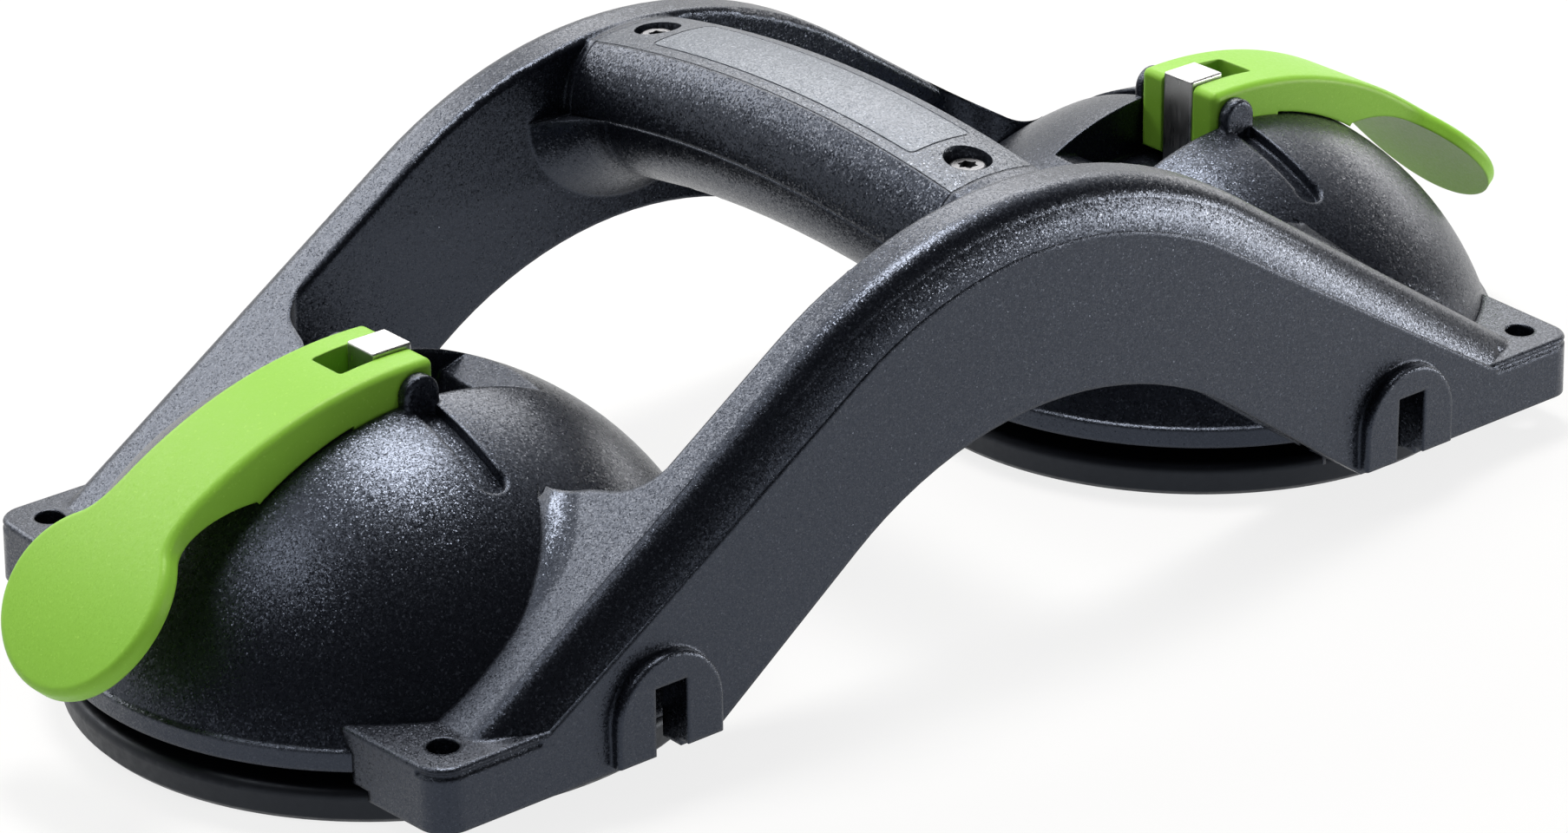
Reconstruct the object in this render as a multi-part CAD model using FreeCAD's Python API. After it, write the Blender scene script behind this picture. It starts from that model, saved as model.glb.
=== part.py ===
import FreeCAD, Part
import math
import os

# Hand vacuum lifter for floor tiles and slabs: two suction cups joined by an arched
# frame with a cross handle.  Millimetres.  X runs from cup to cup, Y along the handle,
# Z up from the floor that the pads stand on.  The left cup is at -X, the right at +X,
# and the right cup is the left one turned half a turn about Z.

V = FreeCAD.Vector
AX, AY, AZ = V(1, 0, 0), V(0, 1, 0), V(0, 0, 1)

# ---- lay-out -------------------------------------------------------------------
CUP_X = 99.5            # cup axis from the middle of the lifter
FRAME_X = 139.8         # half length of the frame over the outer corners of the feet
FOOT_TAPER = 1.35       # the end faces of the feet run out by this towards the cup
FACE_Y = 68.0           # outer face of the arches at floor level
FACE_DRAFT = 0.03       # outer face leans in by this much per mm of height
BASE_Z = 6.8            # underside of the frame, clear of the floor
SKIN_GAP = 0.1          # seam between mouldings of one body
RUN_GAP = 0.3           # gap between faces that move past each other

# ---- arches --------------------------------------------------------------------
ARCH_TOP_Z = 84.5       # top strip at the crown
ARCH_TOP_R = 96.0       # radius of the crown in side view
LEG_ANGLE = 33.7        # slope of the straight legs, degrees
ARCH_IN_Y = 52.6        # inner face of the arches
UNDER_Z = 45.6          # underside at the crown
UNDER_R = 80.0          # radius of the underside at the crown
UNDER_ANGLE = 35.5      # slope of the underside of the legs
SHOULDER_Y = 59.0       # the top strip ends here and rounds over
SHOULDER_R = 5.0        # rounding of the shoulder
SHOULDER_STEEP = 3.4    # straight run below the rounding
LEDGE_R = 3.0           # hollow between shoulder and outer face
FOOT_SHOULDER = 0.55    # shoulder depth at the foot over that at the crown
WALL = 3.2              # wall of the channel section
RIB_T = 1.8             # stiffening ribs in the channel

# ---- feet ----------------------------------------------------------------------
FOOT_Z = 18.8           # top of the foot pads
FOOT_R = 5.5            # outer corner of the feet
FOOT_IN_X = 108.0       # the pads start here under the legs
FOOT_IN_Y = 36.0
FOOT_EDGE_R = 0.9       # rounding along the top edge
FOOT_LINE_R = 0.65      # fine groove below that edge
FOOT_LINE_X = 118.0     # the groove starts where the ledge of the leg ends
HOLE_X = 132.3          # fixing holes, one in each foot
HOLE_Y = 59.3
HOLE_R = 2.9

# ---- webs from leg to cup --------------------------------------------------------
WEB_TIP = (91.5, 34.7)  # sharp end of the web on the dome
WEB_NECK = (88.4, 38.4)
WEB_SIDE = (86.3, 42.3)
WEB_KNEE = (85.0, 46.6)
WEB_ROOT = (77.6, ARCH_IN_Y + 1.0)
# the web rises to the dome near its tip: x, y at the dome, width and height of the rise
RISE = ((82.0, 24.5, 11.5, 3.4), (91.3, 35.0, 11.0, 3.3), (95.9, 40.6, 9.5, 2.8),
        (100.5, 45.3, 7.0, 1.6), (105.1, 48.6, 4.0, 0.7), (108.2, 50.2, 2.2, 0.16),
        (111.0, 51.2, 1.5, 0.04))
LEG_END_X = 131.0       # the legs end inside the feet

# ---- bosses on the outer faces --------------------------------------------------
BOSS_X = 91.1
BOSS_R = 11.7
BOSS_CZ = 14.7          # centre of the round top
BOSS_Y = 69.9           # face of the boss
BOSS_LIFT = 1.1         # underside of the boss above that of the frame
SLOT_W = 7.1
SLOT_Z = 20.9

# ---- dome housing ----------------------------------------------------------------
DOME_R = 63.4
DOME_CZ = -6.0
DOME_T = 3.2
BAND_R = 60.6           # upright band below the dome
BAND_TOP = 14.8
BAND_Z = 10.8
CRADLE_R = 63.6         # cut under the frame that clears the pad
CRADLE_Z = 8.8
SEAT_R0 = 44.5          # ring under the housing that bears on the pad rim
SEAT_R1 = SEAT_R0 + 3.0
TUBE_R = 11.0           # tube round the stud
TUBE_Z = 26.0
HOUSING_RIBS = 8
POCKET_HW = 10.8        # half width of the pocket in the dome top
POCKET_IN = 21.0        # reach towards the middle of the lifter
POCKET_OUT = 14.0       # reach towards the paddle
RAMP_END = 30.0
RAMP_DROP = 0.28        # slope of the ramp beyond the pocket
PLAT_Z = 45.0           # platform that the cams bear on
RAMP_Z = 48.8           # foot of the ramp
LUG_R = 3.8
LUG_X = 0.4
LUG_Z = 58.0
LUG_T = 2.3
GROOVE_HW = 2.5
GROOVE_END = 34.0
GROOVE_DEPTH = 2.2
BOWL_Y = 32.9           # shallow bowl at the end of the groove
BOWL_R = 3.4
BOWL_LIFT = 1.6         # centre of the bowl above the dome
JOIN_X = -8.0           # screws between dome and web, from the cup axis
JOIN_Y = 47.0
JOIN_BOSS_R = 4.6
JOIN_TOP_Z = 40.9       # top of their holes in the webs
JOIN_SCREW_R = 1.75
JOIN_HEAD_R = 3.2
JOIN_SEAT_Z = 26.4

# ---- lever and stud --------------------------------------------------------------
PIN_Z = 57.5
PIN_R = 2.0
PIN_GAP = 0.05
PIN_HALF = 9.8
CAM_REST = 12.2         # pin to platform side of the cam, lever down
CAM_DROP = 3.6          # fall of the stud while the lever turns to upright
CAM_RATE = CAM_DROP / (math.pi / 2.0)
ARM_HW = 10.4
FORK_HW = 4.35          # half width of the slot in the fork
FORK_END = 11.7
LEVER_TOP_R = 89.0      # bow of the lever in side view
LEVER_TOP_X = 0.9
LEVER_CROWN = 5.8       # top of the bow above the pin
LEVER_TOP_C = (LEVER_TOP_X, PIN_Z + LEVER_CROWN - LEVER_TOP_R)
LEVER_SKIN = 3.2        # thickness of the paddle
LEVER_CLEAR_R = DOME_R + RUN_GAP
LEVER_STEP_X = 34.6     # the arm leaves the dome here
LEVER_STEP_Z = 47.4
LEVER_BACK = 13.4       # the arm's underside starts here, just inside the pocket
LEVER_EDGE_R = 1.5
PADDLE_TILT = 46.4      # slope of the paddle in its middle, degrees
PADDLE_A = 17.6
PADDLE_B = 19.3
PADDLE_NECK = -25.0     # the arm starts to widen here, along the slope
STUD_HX = 4.2
STUD_HY = 4.0
STUD_TOP = 64.2
STUD_SQ_Z = 40.6        # square part ends here
STUD_R = 4.0
BUSH_R = 6.2
BUSH_TOP = 35.2
PLATE_R = 24.0
PLATE_Z = 11.0
PLATE_T = 2.4
NUT_R = 6.4
NUT_T = 4.0
SPRING_R = 8.4
SPRING_WIRE = 0.9
SPRING_TURNS = 3.0

# ---- pads -------------------------------------------------------------------------
PAD_R = 59.3
PAD_EDGE_R = 60.0
PAD_TOP = 7.0
PAD_IN_R = SEAT_R0 - 2.5
MEMBRANE_T = 2.2

# ---- handle -----------------------------------------------------------------------
GRIP_ARC_R = 278.0      # the handle bows upwards along its length
GRIP_TOP = 88.3
GRIP_END = 50.5
COVER_HW = 9.7
COVER_T = 3.0
COVER_CROWN = 1.0
GRIP_HW = 16.0
PART_H = 13.3           # parting line below the cover
GRIP_DEPTH = 15.0
SHELL_T = 3.0
COVER_SCREW_Y = 43.9
SCREW_RECESS_R = 4.5
SCREW_SEAT_Z = GRIP_TOP - 5.7   # floor of the screw recesses
SCREW_REACH = 17.0
SCREW_HEAD_R = 3.6
LABEL_HX = 7.4
LABEL_HY = 37.0
LABEL_R = 1.6


def face_of(points, closed=True):
    """Flat face inside a closed polygon."""
    loop = list(points) + ([points[0]] if closed else [])
    return Part.Face(Part.makePolygon(loop))


def face_from_edges(edges):
    return Part.Face(Part.Wire(edges))


def line(a, b):
    return Part.makeLine(a, b)


def arc3(a, b, c):
    return Part.Arc(a, b, c).toShape()


def box(x0, x1, y0, y1, z0, z1):
    return Part.makeBox(x1 - x0, y1 - y0, z1 - z0, V(x0, y0, z0))


def cyl_z(x, y, z0, z1, r):
    return Part.makeCylinder(r, z1 - z0, V(x, y, z0), AZ)


def mirrored(shape, normal):
    return shape.mirror(V(0, 0, 0), normal)


def turned(shape):
    """Half a turn about the upright axis of the lifter."""
    out = shape.copy()
    out.rotate(V(0, 0, 0), AZ, 180)
    return out


def at_cup(shape, side):
    """Move a piece drawn about the cup axis, paddle towards +X, to its cup."""
    out = shape.copy()
    out.translate(V(CUP_X, 0, 0))
    if side == "left":
        out = turned(out)
    return out


def fused(shapes):
    out = shapes[0]
    if len(shapes) > 1:
        out = shapes[0].multiFuse(shapes[1:])
    return out.removeSplitter()


def save(name, shape):
    if shape.isNull() or not shape.isValid():
        print("NOT VALID", name)
    shape.exportStep("parts/" + name + ".step")
    box_ = shape.BoundBox
    print("%-18s solids %2d faces %4d vol %9.1f  x %.1f..%.1f y %.1f..%.1f z %.1f..%.1f" % (
        name, len(shape.Solids), len(shape.Faces), shape.Volume,
        box_.XMin, box_.XMax, box_.YMin, box_.YMax, box_.ZMin, box_.ZMax))


# =================================================================================
# Arches
# =================================================================================
def shoulder_points(scale):
    """Corner points of the arch section, (y, depth below the top strip)."""
    steep = math.radians(80.0)
    flat = math.radians(20.0)
    y1 = SHOULDER_Y + SHOULDER_R * math.sin(steep)
    n1 = SHOULDER_R * (1.0 - math.cos(steep))
    y2 = y1 + SHOULDER_STEEP * math.cos(steep)
    n2 = n1 + SHOULDER_STEEP * math.sin(steep)
    cy = y2 + LEDGE_R * math.sin(steep)
    cn = n2 - LEDGE_R * math.cos(steep)
    y3 = cy - LEDGE_R * math.sin(flat)
    n3 = cn + LEDGE_R * math.cos(flat)
    y4 = FACE_Y + 4.0
    n4 = n3 + (y4 - y3) * math.tan(flat)
    mid = 0.5 * (steep + flat)
    ym = cy - LEDGE_R * math.sin(mid)
    nm = cn + LEDGE_R * math.cos(mid)
    h = 0.5 * steep
    yc = SHOULDER_Y + SHOULDER_R * math.sin(h)
    nc = SHOULDER_R * (1.0 - math.cos(h))
    pts = [(SHOULDER_Y, 0.0), (yc, nc), (y1, n1), (y2, n2), (ym, nm), (y3, n3), (y4, n4)]
    return [(y, n * scale) for y, n in pts]


def arch_section(place, scale, depth):
    """Closed section wire; place(y, n) gives the point in space."""
    p = shoulder_points(scale)
    edge_r = 1.4
    a0 = place(ARCH_IN_Y, depth)
    a1 = place(ARCH_IN_Y, edge_r)
    am = place(ARCH_IN_Y + edge_r * 0.293, edge_r * 0.293)
    a2 = place(ARCH_IN_Y + edge_r, 0.0)
    q = [place(y, n) for y, n in p]
    a9 = place(p[6][0], depth)
    edges = [line(a0, a1), arc3(a1, am, a2), line(a2, q[0]), arc3(q[0], q[1], q[2]),
             line(q[2], q[3]), arc3(q[3], q[4], q[5]), line(q[5], q[6]), line(q[6], a9),
             line(a9, a0)]
    return Part.Wire(edges)


def crown_place(y, n):
    return V(0, y, ARCH_TOP_Z - n)


def leg_place(distance):
    """Section plane square to the straight leg, at a distance below the crown arc."""
    a = math.radians(LEG_ANGLE)
    cz = ARCH_TOP_Z - ARCH_TOP_R
    x0 = ARCH_TOP_R * math.sin(a) + distance * math.cos(a)
    z0 = cz + ARCH_TOP_R * math.cos(a) - distance * math.sin(a)

    def place(y, n):
        return V(x0 - n * math.sin(a), y, z0 - n * math.cos(a))
    return place


def leg_top_z(x):
    """Height of the sloping leg top at x."""
    a = math.radians(LEG_ANGLE)
    cz = ARCH_TOP_Z - ARCH_TOP_R
    return cz + ARCH_TOP_R * math.cos(a) - (x - ARCH_TOP_R * math.sin(a)) * math.tan(a)


def swept_section(scale_foot, depth, maker):
    """Section turned about the crown and carried down both legs."""
    centre = V(0, 0, ARCH_TOP_Z - ARCH_TOP_R)
    crown = Part.Face(maker(crown_place, 1.0, depth))
    half = crown.revolve(centre, AY, LEG_ANGLE)
    wire0 = maker(leg_place(0.0), 1.0, depth)
    wire1 = maker(leg_place(112.0), scale_foot, depth)
    leg = Part.makeLoft([wire0, wire1], True, True)
    right = half.fuse(leg)
    return right.fuse(mirrored(right, AX)).removeSplitter()


def cavity_section(place, scale, depth):
    pts = [(ARCH_IN_Y + WALL, depth), (ARCH_IN_Y + WALL, WALL),
           (SHOULDER_Y + 1.0, WALL + 0.3), (SHOULDER_Y + 2.6, 8.0),
           (FACE_Y - 5.2, 13.5), (FACE_Y - 5.0, depth)]
    q = [place(y, n) for y, n in pts]
    return Part.makePolygon(q + [q[0]])


def side_outline(y0, y1, lift):
    """Block in the side outline of an arch: everything above the underside curve."""
    a = math.radians(UNDER_ANGLE)
    cz = UNDER_Z + lift - UNDER_R
    r = UNDER_R
    xt = r * math.sin(a)
    zt = cz + r * math.cos(a)
    xb = xt + (zt - BASE_Z - lift) / math.tan(a)
    zb = BASE_Z + lift
    top = 100.0
    end = FRAME_X + 20.0
    p = [V(-end, y0, zb), V(-xb, y0, zb), V(-xt, y0, zt), V(0, y0, UNDER_Z + lift),
         V(xt, y0, zt), V(xb, y0, zb), V(end, y0, zb), V(end, y0, top), V(-end, y0, top)]
    edges = [line(p[0], p[1]), line(p[1], p[2]), arc3(p[2], p[3], p[4]), line(p[4], p[5]),
             line(p[5], p[6]), line(p[6], p[7]), line(p[7], p[8]), line(p[8], p[0])]
    return face_from_edges(edges).extrude(V(0, y1 - y0, 0))


def face_limit():
    """Everything inside the drafted outer face, +Y side."""
    top = 100.0
    p = [V(-200, 0, 0), V(-200, FACE_Y, 0), V(-200, FACE_Y - FACE_DRAFT * top, top),
         V(-200, 0, top)]
    return face_of(p).extrude(V(400, 0, 0))


def rear_arch():
    """Channel-section arch on the +Y side, with its ribs."""
    outer = swept_section(FOOT_SHOULDER, 62.0, arch_section)
    outer = outer.common(side_outline(ARCH_IN_Y - 1.0, FACE_Y + 5.0, 0.0))
    outer = outer.common(face_limit())
    outer = outer.common(box(-LEG_END_X, LEG_END_X, 0, 100, 0, 100))
    cavity = swept_section(1.0, 62.0, cavity_section)
    ribs = []
    for x in (-66.0, -44.0, -22.0, 0.0, 22.0, 44.0, 66.0):
        ribs.append(box(x - RIB_T / 2, x + RIB_T / 2, ARCH_IN_Y, FACE_Y, 0, 100))
    for x in (-78.0, 78.0):
        ribs.append(box(x - RIB_T / 2, x + RIB_T / 2, ARCH_IN_Y, FACE_Y, 0, 100))
    cavity = cavity.cut(Part.makeCompound(ribs))
    reach = box(-104, 104, ARCH_IN_Y, FACE_Y, -5, 100)
    cavity = cavity.common(reach)
    return outer.cut(cavity)


# =================================================================================
# Feet, webs and bosses, drawn for the +X +Y corner
# =================================================================================
def face_y(z):
    """Outer face of the arches at a height."""
    return FACE_Y - FACE_DRAFT * z


def foot_outline(z):
    """Outline of a foot at a height, with its rounded outer corner."""
    r = FOOT_R
    x1, y1 = FRAME_X, face_y(z)
    p = [V(FOOT_IN_X, FOOT_IN_Y, z), V(x1 + FOOT_TAPER, FOOT_IN_Y, z), V(x1, y1 - r, z),
         V(x1 - r * 0.293, y1 - r * 0.293, z), V(x1 - r, y1, z), V(FOOT_IN_X, y1, z)]
    return Part.Wire([line(p[0], p[1]), line(p[1], p[2]), arc3(p[2], p[3], p[4]),
                      line(p[4], p[5]), line(p[5], p[0])])


def foot_block():
    """Foot pad with a rounded outer corner and a softened top edge."""
    block = Part.makeLoft([foot_outline(BASE_Z), foot_outline(FOOT_Z)], True, True)
    rim = []
    for e in block.Edges:
        b = e.BoundBox
        on_top = abs(b.ZMin - FOOT_Z) < 1e-3 and abs(b.ZMax - FOOT_Z) < 1e-3
        end = b.XMin > FRAME_X - FOOT_R - 0.1 and b.YMax > FOOT_IN_Y + 5.0
        side = b.YMin > face_y(FOOT_Z) - FOOT_R - 0.1
        if on_top and (end or side):
            rim.append(e)
    return block.makeFillet(FOOT_EDGE_R, rim)


def foot_line():
    """Fine groove along the outer side of a foot and round its corner."""
    r = FOOT_R
    z = FOOT_Z - FOOT_EDGE_R - 0.45
    y = face_y(z) + 0.12
    x = FRAME_X + 0.12
    start = V(FOOT_LINE_X, y, z)
    knee = V(x - r, y, z)
    bend = V(x - r * 0.293, y - r * 0.293, z)
    end = V(x, y - r, z)
    path = Part.Wire([line(start, knee), arc3(knee, bend, end)])
    circle = Part.Wire(Part.makeCircle(FOOT_LINE_R, start, AX))
    tube = path.makePipeShell([circle], True, True)
    return tube.fuse([Part.makeSphere(FOOT_LINE_R, q) for q in (start, end)])


def web_block():
    """Sloping web between leg and dome, before the dome is taken out of it."""
    deep = 60.0
    out = FRAME_X - 6.0
    low = 22.0
    tip, neck, side, knee, root = [V(q[0], q[1], BASE_Z) for q in (
        WEB_TIP, WEB_NECK, WEB_SIDE, WEB_KNEE, WEB_ROOT)]
    bend = V(83.1, 50.4, BASE_Z)
    inner = V(WEB_TIP[0] + 8.0, WEB_TIP[1] + 1.0, BASE_Z)
    inner_low = V(WEB_TIP[0] + 13.0, low, BASE_Z)
    far = V(out, low, BASE_Z)
    far_deep = V(out, deep, BASE_Z)
    root_deep = V(WEB_ROOT[0], deep, BASE_Z)
    edges = [line(inner, tip), arc3(tip, neck, side), line(side, knee),
             arc3(knee, bend, root), line(root, root_deep), line(root_deep, far_deep),
             line(far_deep, far), line(far, inner_low), line(inner_low, inner)]
    block = face_from_edges(edges).extrude(V(0, 0, 90))
    flat = block.common(leg_slab())
    raised = block.common(rise_zone())
    return flat.fuse(raised).removeSplitter()


def leg_slab():
    """Everything below the plane of the leg tops."""
    cap = face_of([V(60, 0, leg_top_z(60.0)), V(150, 0, leg_top_z(150.0)), V(150, 0, -10),
                   V(60, 0, -10)])
    return cap.extrude(V(0, 80, 0))


def rise_section(x, y_dome, width, height):
    """Section of the web where it rises, hollow, from the plane of the legs to the dome."""
    z = leg_top_z(x)
    r = (width ** 2 + height ** 2) / (2.0 * height)
    y0 = y_dome + width
    reach = width + 1.0
    sunk = 0.02

    def on_rise(d):
        return V(x, y0 - d, z + r - math.sqrt(r * r - d * d) - sunk)
    outer = y0 + 2.0
    p = [V(x, outer, z - 15.0), V(x, outer, z - 1.0), on_rise(0.0)]
    end = on_rise(reach)
    low = V(x, end.y, z - 15.0)
    return Part.Wire([line(p[0], p[1]), line(p[1], p[2]), arc3(p[2], on_rise(0.5 * reach), end),
                      line(end, low), line(low, p[0])])


def rise_zone():
    """Rise of the web near its tip."""
    return Part.makeLoft([rise_section(*row) for row in RISE], True, False)


def outer_boss():
    """Round-topped boss on the outer face, with its slot cut later."""
    y0 = FACE_Y - 3.0
    c = V(BOSS_X, y0, BOSS_CZ)
    r = BOSS_R
    low = BASE_Z + BOSS_LIFT
    p = [V(BOSS_X - r, y0, low), V(BOSS_X - r, y0, BOSS_CZ), V(BOSS_X, y0, BOSS_CZ + r),
         V(BOSS_X + r, y0, BOSS_CZ), V(BOSS_X + r, y0, low)]
    edges = [line(p[0], p[1]), arc3(p[1], p[2], p[3]), line(p[3], p[4]), line(p[4], p[0])]
    body = face_from_edges(edges).extrude(V(0, BOSS_Y - y0, 0))
    rim = []
    for e in body.Edges:
        b = e.BoundBox
        if b.YMin > BOSS_Y - 0.01 and b.ZMax > low + 0.5:
            rim.append(e)
    return body.makeFillet(0.7, rim)


def corner_positive():
    return [foot_block(), web_block(), outer_boss()]


def corner_negative():
    slot = box(BOSS_X - SLOT_W / 2, BOSS_X + SLOT_W / 2, FACE_Y - 9.0, FACE_Y + 4.0,
               BASE_Z - 1, SLOT_Z)
    hole = cyl_z(HOLE_X, HOLE_Y, BASE_Z - 1, FOOT_Z + 1, HOLE_R)
    return [slot, hole, foot_line()]


def four_corners(shape):
    a = shape
    b = mirrored(shape, AX)
    c = mirrored(shape, AY)
    d = turned(shape)
    return [a, b, c, d]


def cup_space():
    """Room taken out of the frame for one housing, about the cup axis."""
    dome = Part.makeSphere(DOME_R + SKIN_GAP, V(0, 0, DOME_CZ))
    dome = dome.common(box(-80, 80, -80, 80, BAND_TOP, 80))
    band = cyl_z(0, 0, -5, BAND_TOP, BAND_R + SKIN_GAP)
    cradle = cyl_z(0, 0, -5, CRADLE_Z, CRADLE_R)
    space = dome.fuse(band).fuse(cradle)
    for y in (-JOIN_Y, JOIN_Y):
        space = space.fuse(cyl_z(JOIN_X, y, JOIN_SEAT_Z, JOIN_TOP_Z, JOIN_SCREW_R - 0.35))
    return space


# =================================================================================
# Handle
# =================================================================================
def bowed(face, half_length):
    """Turn a section, drawn at Y = 0 in the XZ plane, along the bow of the handle."""
    angle = math.degrees(math.asin(half_length / GRIP_ARC_R))
    axis_z = GRIP_TOP - GRIP_ARC_R
    f = face.copy()
    f.rotate(V(0, 0, axis_z), AX, -angle)
    return f.revolve(V(0, 0, axis_z), AX, 2 * angle)


def lower_grip_face(a, b, lift):
    """Half ellipse below the parting line, half width a, depth b."""
    zc = GRIP_TOP - PART_H + lift
    shape = Part.Ellipse(V(0, 0, 0), max(a, b), min(a, b))
    if a >= b:
        curve = Part.Arc(shape, math.pi, 2 * math.pi).toShape()
        curve.rotate(V(0, 0, 0), AX, 90)
    else:
        curve = Part.Arc(shape, 0.5 * math.pi, 1.5 * math.pi).toShape()
        curve.rotate(V(0, 0, 0), AZ, 90)
        curve.rotate(V(0, 0, 0), AX, 90)
    curve.translate(V(0, 0, zc))
    return face_from_edges([curve, line(curve.Vertexes[-1].Point, curve.Vertexes[0].Point)])


def handle_lower():
    """Lower half of the handle, closed above along the parting line, and its flares."""
    body = bowed(lower_grip_face(GRIP_HW, GRIP_DEPTH, 0.0), ARCH_IN_Y + 1.2)
    pieces = [body]
    sizes = [(40.0, 0.3, 0.2), (45.0, 1.7, 1.0), (49.0, 4.6, 2.8),
             (ARCH_IN_Y + 0.8, 10.0, 6.0)]
    wires = []
    for y, wide, deep in sizes:
        drop = GRIP_ARC_R - math.sqrt(GRIP_ARC_R ** 2 - y ** 2)
        f = lower_grip_face(GRIP_HW + wide, GRIP_DEPTH + deep, -drop)
        w = f.OuterWire.copy()
        w.translate(V(0, y, 0))
        wires.append(w)
    flare = Part.makeLoft(wires, True, False)
    pieces.append(flare)
    pieces.append(mirrored(flare, AY))
    return fused(pieces)


def grip_landing():
    """Full grip section that the frame carries between grip and arch, +Y side."""
    a, m, b = upper_outline(False)
    b = V(b.x, 0, b.z - 1.0)
    la, lm, lb = [V(-p.x, 0, p.z) for p in (a, m, b)]
    edge = V(COVER_HW, 0, GRIP_TOP)
    edge_l = V(-COVER_HW, 0, GRIP_TOP)
    edges = [arc3(b, m, a), line(a, edge), arc3(edge, V(0, 0, GRIP_TOP + COVER_CROWN), edge_l),
             line(edge_l, la), arc3(la, lm, lb), line(lb, b)]
    full = bowed(face_from_edges(edges), ARCH_IN_Y + 3.0)
    return full.common(box(-40, 40, GRIP_END, ARCH_IN_Y + 1.4, 40, 150))


def upper_outline(inset):
    """Half outline of the upper grip, right side, from cover edge to parting line."""
    a = V(COVER_HW + 0.15, 0, GRIP_TOP - 0.1)
    m = V(14.35, 0, GRIP_TOP - 5.0)
    b = V(GRIP_HW, 0, GRIP_TOP - PART_H + SKIN_GAP)
    if inset:
        a = V(COVER_HW - 2.2, 0, GRIP_TOP - COVER_T - 2.6)
        m = V(14.35 - SHELL_T * 0.85, 0, GRIP_TOP - 5.0 - SHELL_T * 0.6)
        b = V(GRIP_HW - SHELL_T, 0, GRIP_TOP - PART_H + SKIN_GAP)
    return a, m, b


def grip_shell():
    """Upper half of the grip: a bowed shell with a bed for the cover strip."""
    a, m, b = upper_outline(False)
    ai, mi, bi = upper_outline(True)
    bed = GRIP_TOP - COVER_T - SKIN_GAP
    la, lm, lb = [V(-p.x, 0, p.z) for p in (a, m, b)]
    li, lmi, lbi = [V(-p.x, 0, p.z) for p in (ai, mi, bi)]
    a_bed = V(a.x, 0, bed)
    l_bed = V(-a.x, 0, bed)
    edges = [arc3(b, m, a), line(a, a_bed), line(a_bed, l_bed), line(l_bed, la),
             arc3(la, lm, lb), line(lb, lbi), arc3(lbi, lmi, li), line(li, ai),
             arc3(ai, mi, bi), line(bi, b)]
    shell = bowed(face_from_edges(edges), ARCH_IN_Y + 3.0)
    shell = shell.common(box(-40, 40, SKIN_GAP - GRIP_END, GRIP_END - SKIN_GAP, 40, 150))
    for y in (-COVER_SCREW_Y, COVER_SCREW_Y):
        post = cyl_z(0, y, GRIP_TOP - PART_H - 1.0, GRIP_TOP - COVER_T - 5.0, 4.6)
        shell = shell.fuse(post)
    ribs = []
    for y in (-30.0, -15.0, 0.0, 15.0, 30.0):
        rib = box(-GRIP_HW + 2.0, GRIP_HW - 2.0, y - 0.8, y + 0.8,
                  GRIP_TOP - PART_H, GRIP_TOP - COVER_T - 2.0)
        ribs.append(rib)
    inner = bowed(face_from_edges([arc3(bi, mi, ai), line(ai, li), arc3(li, lmi, lbi),
                                   line(lbi, bi)]), ARCH_IN_Y)
    grown = Part.makeCompound(ribs).common(inner)
    shell = shell.fuse(grown)
    lower_limit = bowed(face_of([V(-40, 0, GRIP_TOP - PART_H + SKIN_GAP),
                                 V(40, 0, GRIP_TOP - PART_H + SKIN_GAP),
                                 V(40, 0, GRIP_TOP - 45), V(-40, 0, GRIP_TOP - 45)]), 60.0)
    shell = shell.cut(lower_limit)
    for y in (-COVER_SCREW_Y, COVER_SCREW_Y):
        shell = shell.cut(cyl_z(0, y, GRIP_TOP - 28.0, GRIP_TOP + 12.0, 1.75))
    return shell.removeSplitter()


def cover_solid(z_drop, half_x, half_y, thick):
    """Bowed and crowned strip."""
    z0 = GRIP_TOP - z_drop
    crown = COVER_CROWN * (half_x / COVER_HW) ** 2
    p = [V(-half_x, 0, z0 - thick), V(half_x, 0, z0 - thick), V(half_x, 0, z0),
         V(0, 0, z0 + crown), V(-half_x, 0, z0)]
    face = face_from_edges([line(p[0], p[1]), line(p[1], p[2]), arc3(p[2], p[3], p[4]),
                            line(p[4], p[0])])
    return bowed(face, half_y)


def label_outline(grow, z0, z1):
    hx = LABEL_HX + grow
    hy = LABEL_HY + grow
    body = box(-hx, hx, -hy, hy, z0, z1)
    upright = [e for e in body.Edges if e.BoundBox.ZLength > 1.0]
    return body.makeFillet(LABEL_R + grow, upright)


def handle_cover():
    cover = cover_solid(0.0, COVER_HW, ARCH_IN_Y, COVER_T)
    cover = cover.common(box(-40, 40, SKIN_GAP - GRIP_END, GRIP_END - SKIN_GAP, 40, 150))
    deep = cover_solid(0.6, COVER_HW + 2.0, GRIP_END + 2.0, COVER_T + 2.0)
    bed = label_outline(0.0, GRIP_TOP - 28.0, GRIP_TOP + 12.0).cut(deep)
    cover = cover.cut(bed)
    for y in (-COVER_SCREW_Y, COVER_SCREW_Y):
        cover = cover.cut(cyl_z(0, y, SCREW_SEAT_Z, GRIP_TOP + 12.0, SCREW_RECESS_R))
        cover = cover.cut(cyl_z(0, y, GRIP_TOP - 28.0, GRIP_TOP + 12.0, 2.1))
    return cover


def label_panel():
    """Bare label inlay, a hair smaller than its bed so that a fine line shows round it."""
    gap = 0.35
    strip = cover_solid(0.0, COVER_HW, GRIP_END, COVER_T)
    below = cover_solid(0.6, COVER_HW + 2.0, GRIP_END + 2.0, COVER_T + 2.0)
    return label_outline(-gap, GRIP_TOP - 28.0, GRIP_TOP + 12.0).common(strip).cut(below)


def six_lobe(z0, z1, r_out, r_in):
    pts = []
    for i in range(12):
        r = r_out if i % 2 == 0 else r_in
        a = math.radians(30.0 * i)
        pts.append(V(r * math.cos(a), r * math.sin(a), z0))
    return face_of(pts).extrude(V(0, 0, z1 - z0))


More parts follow.
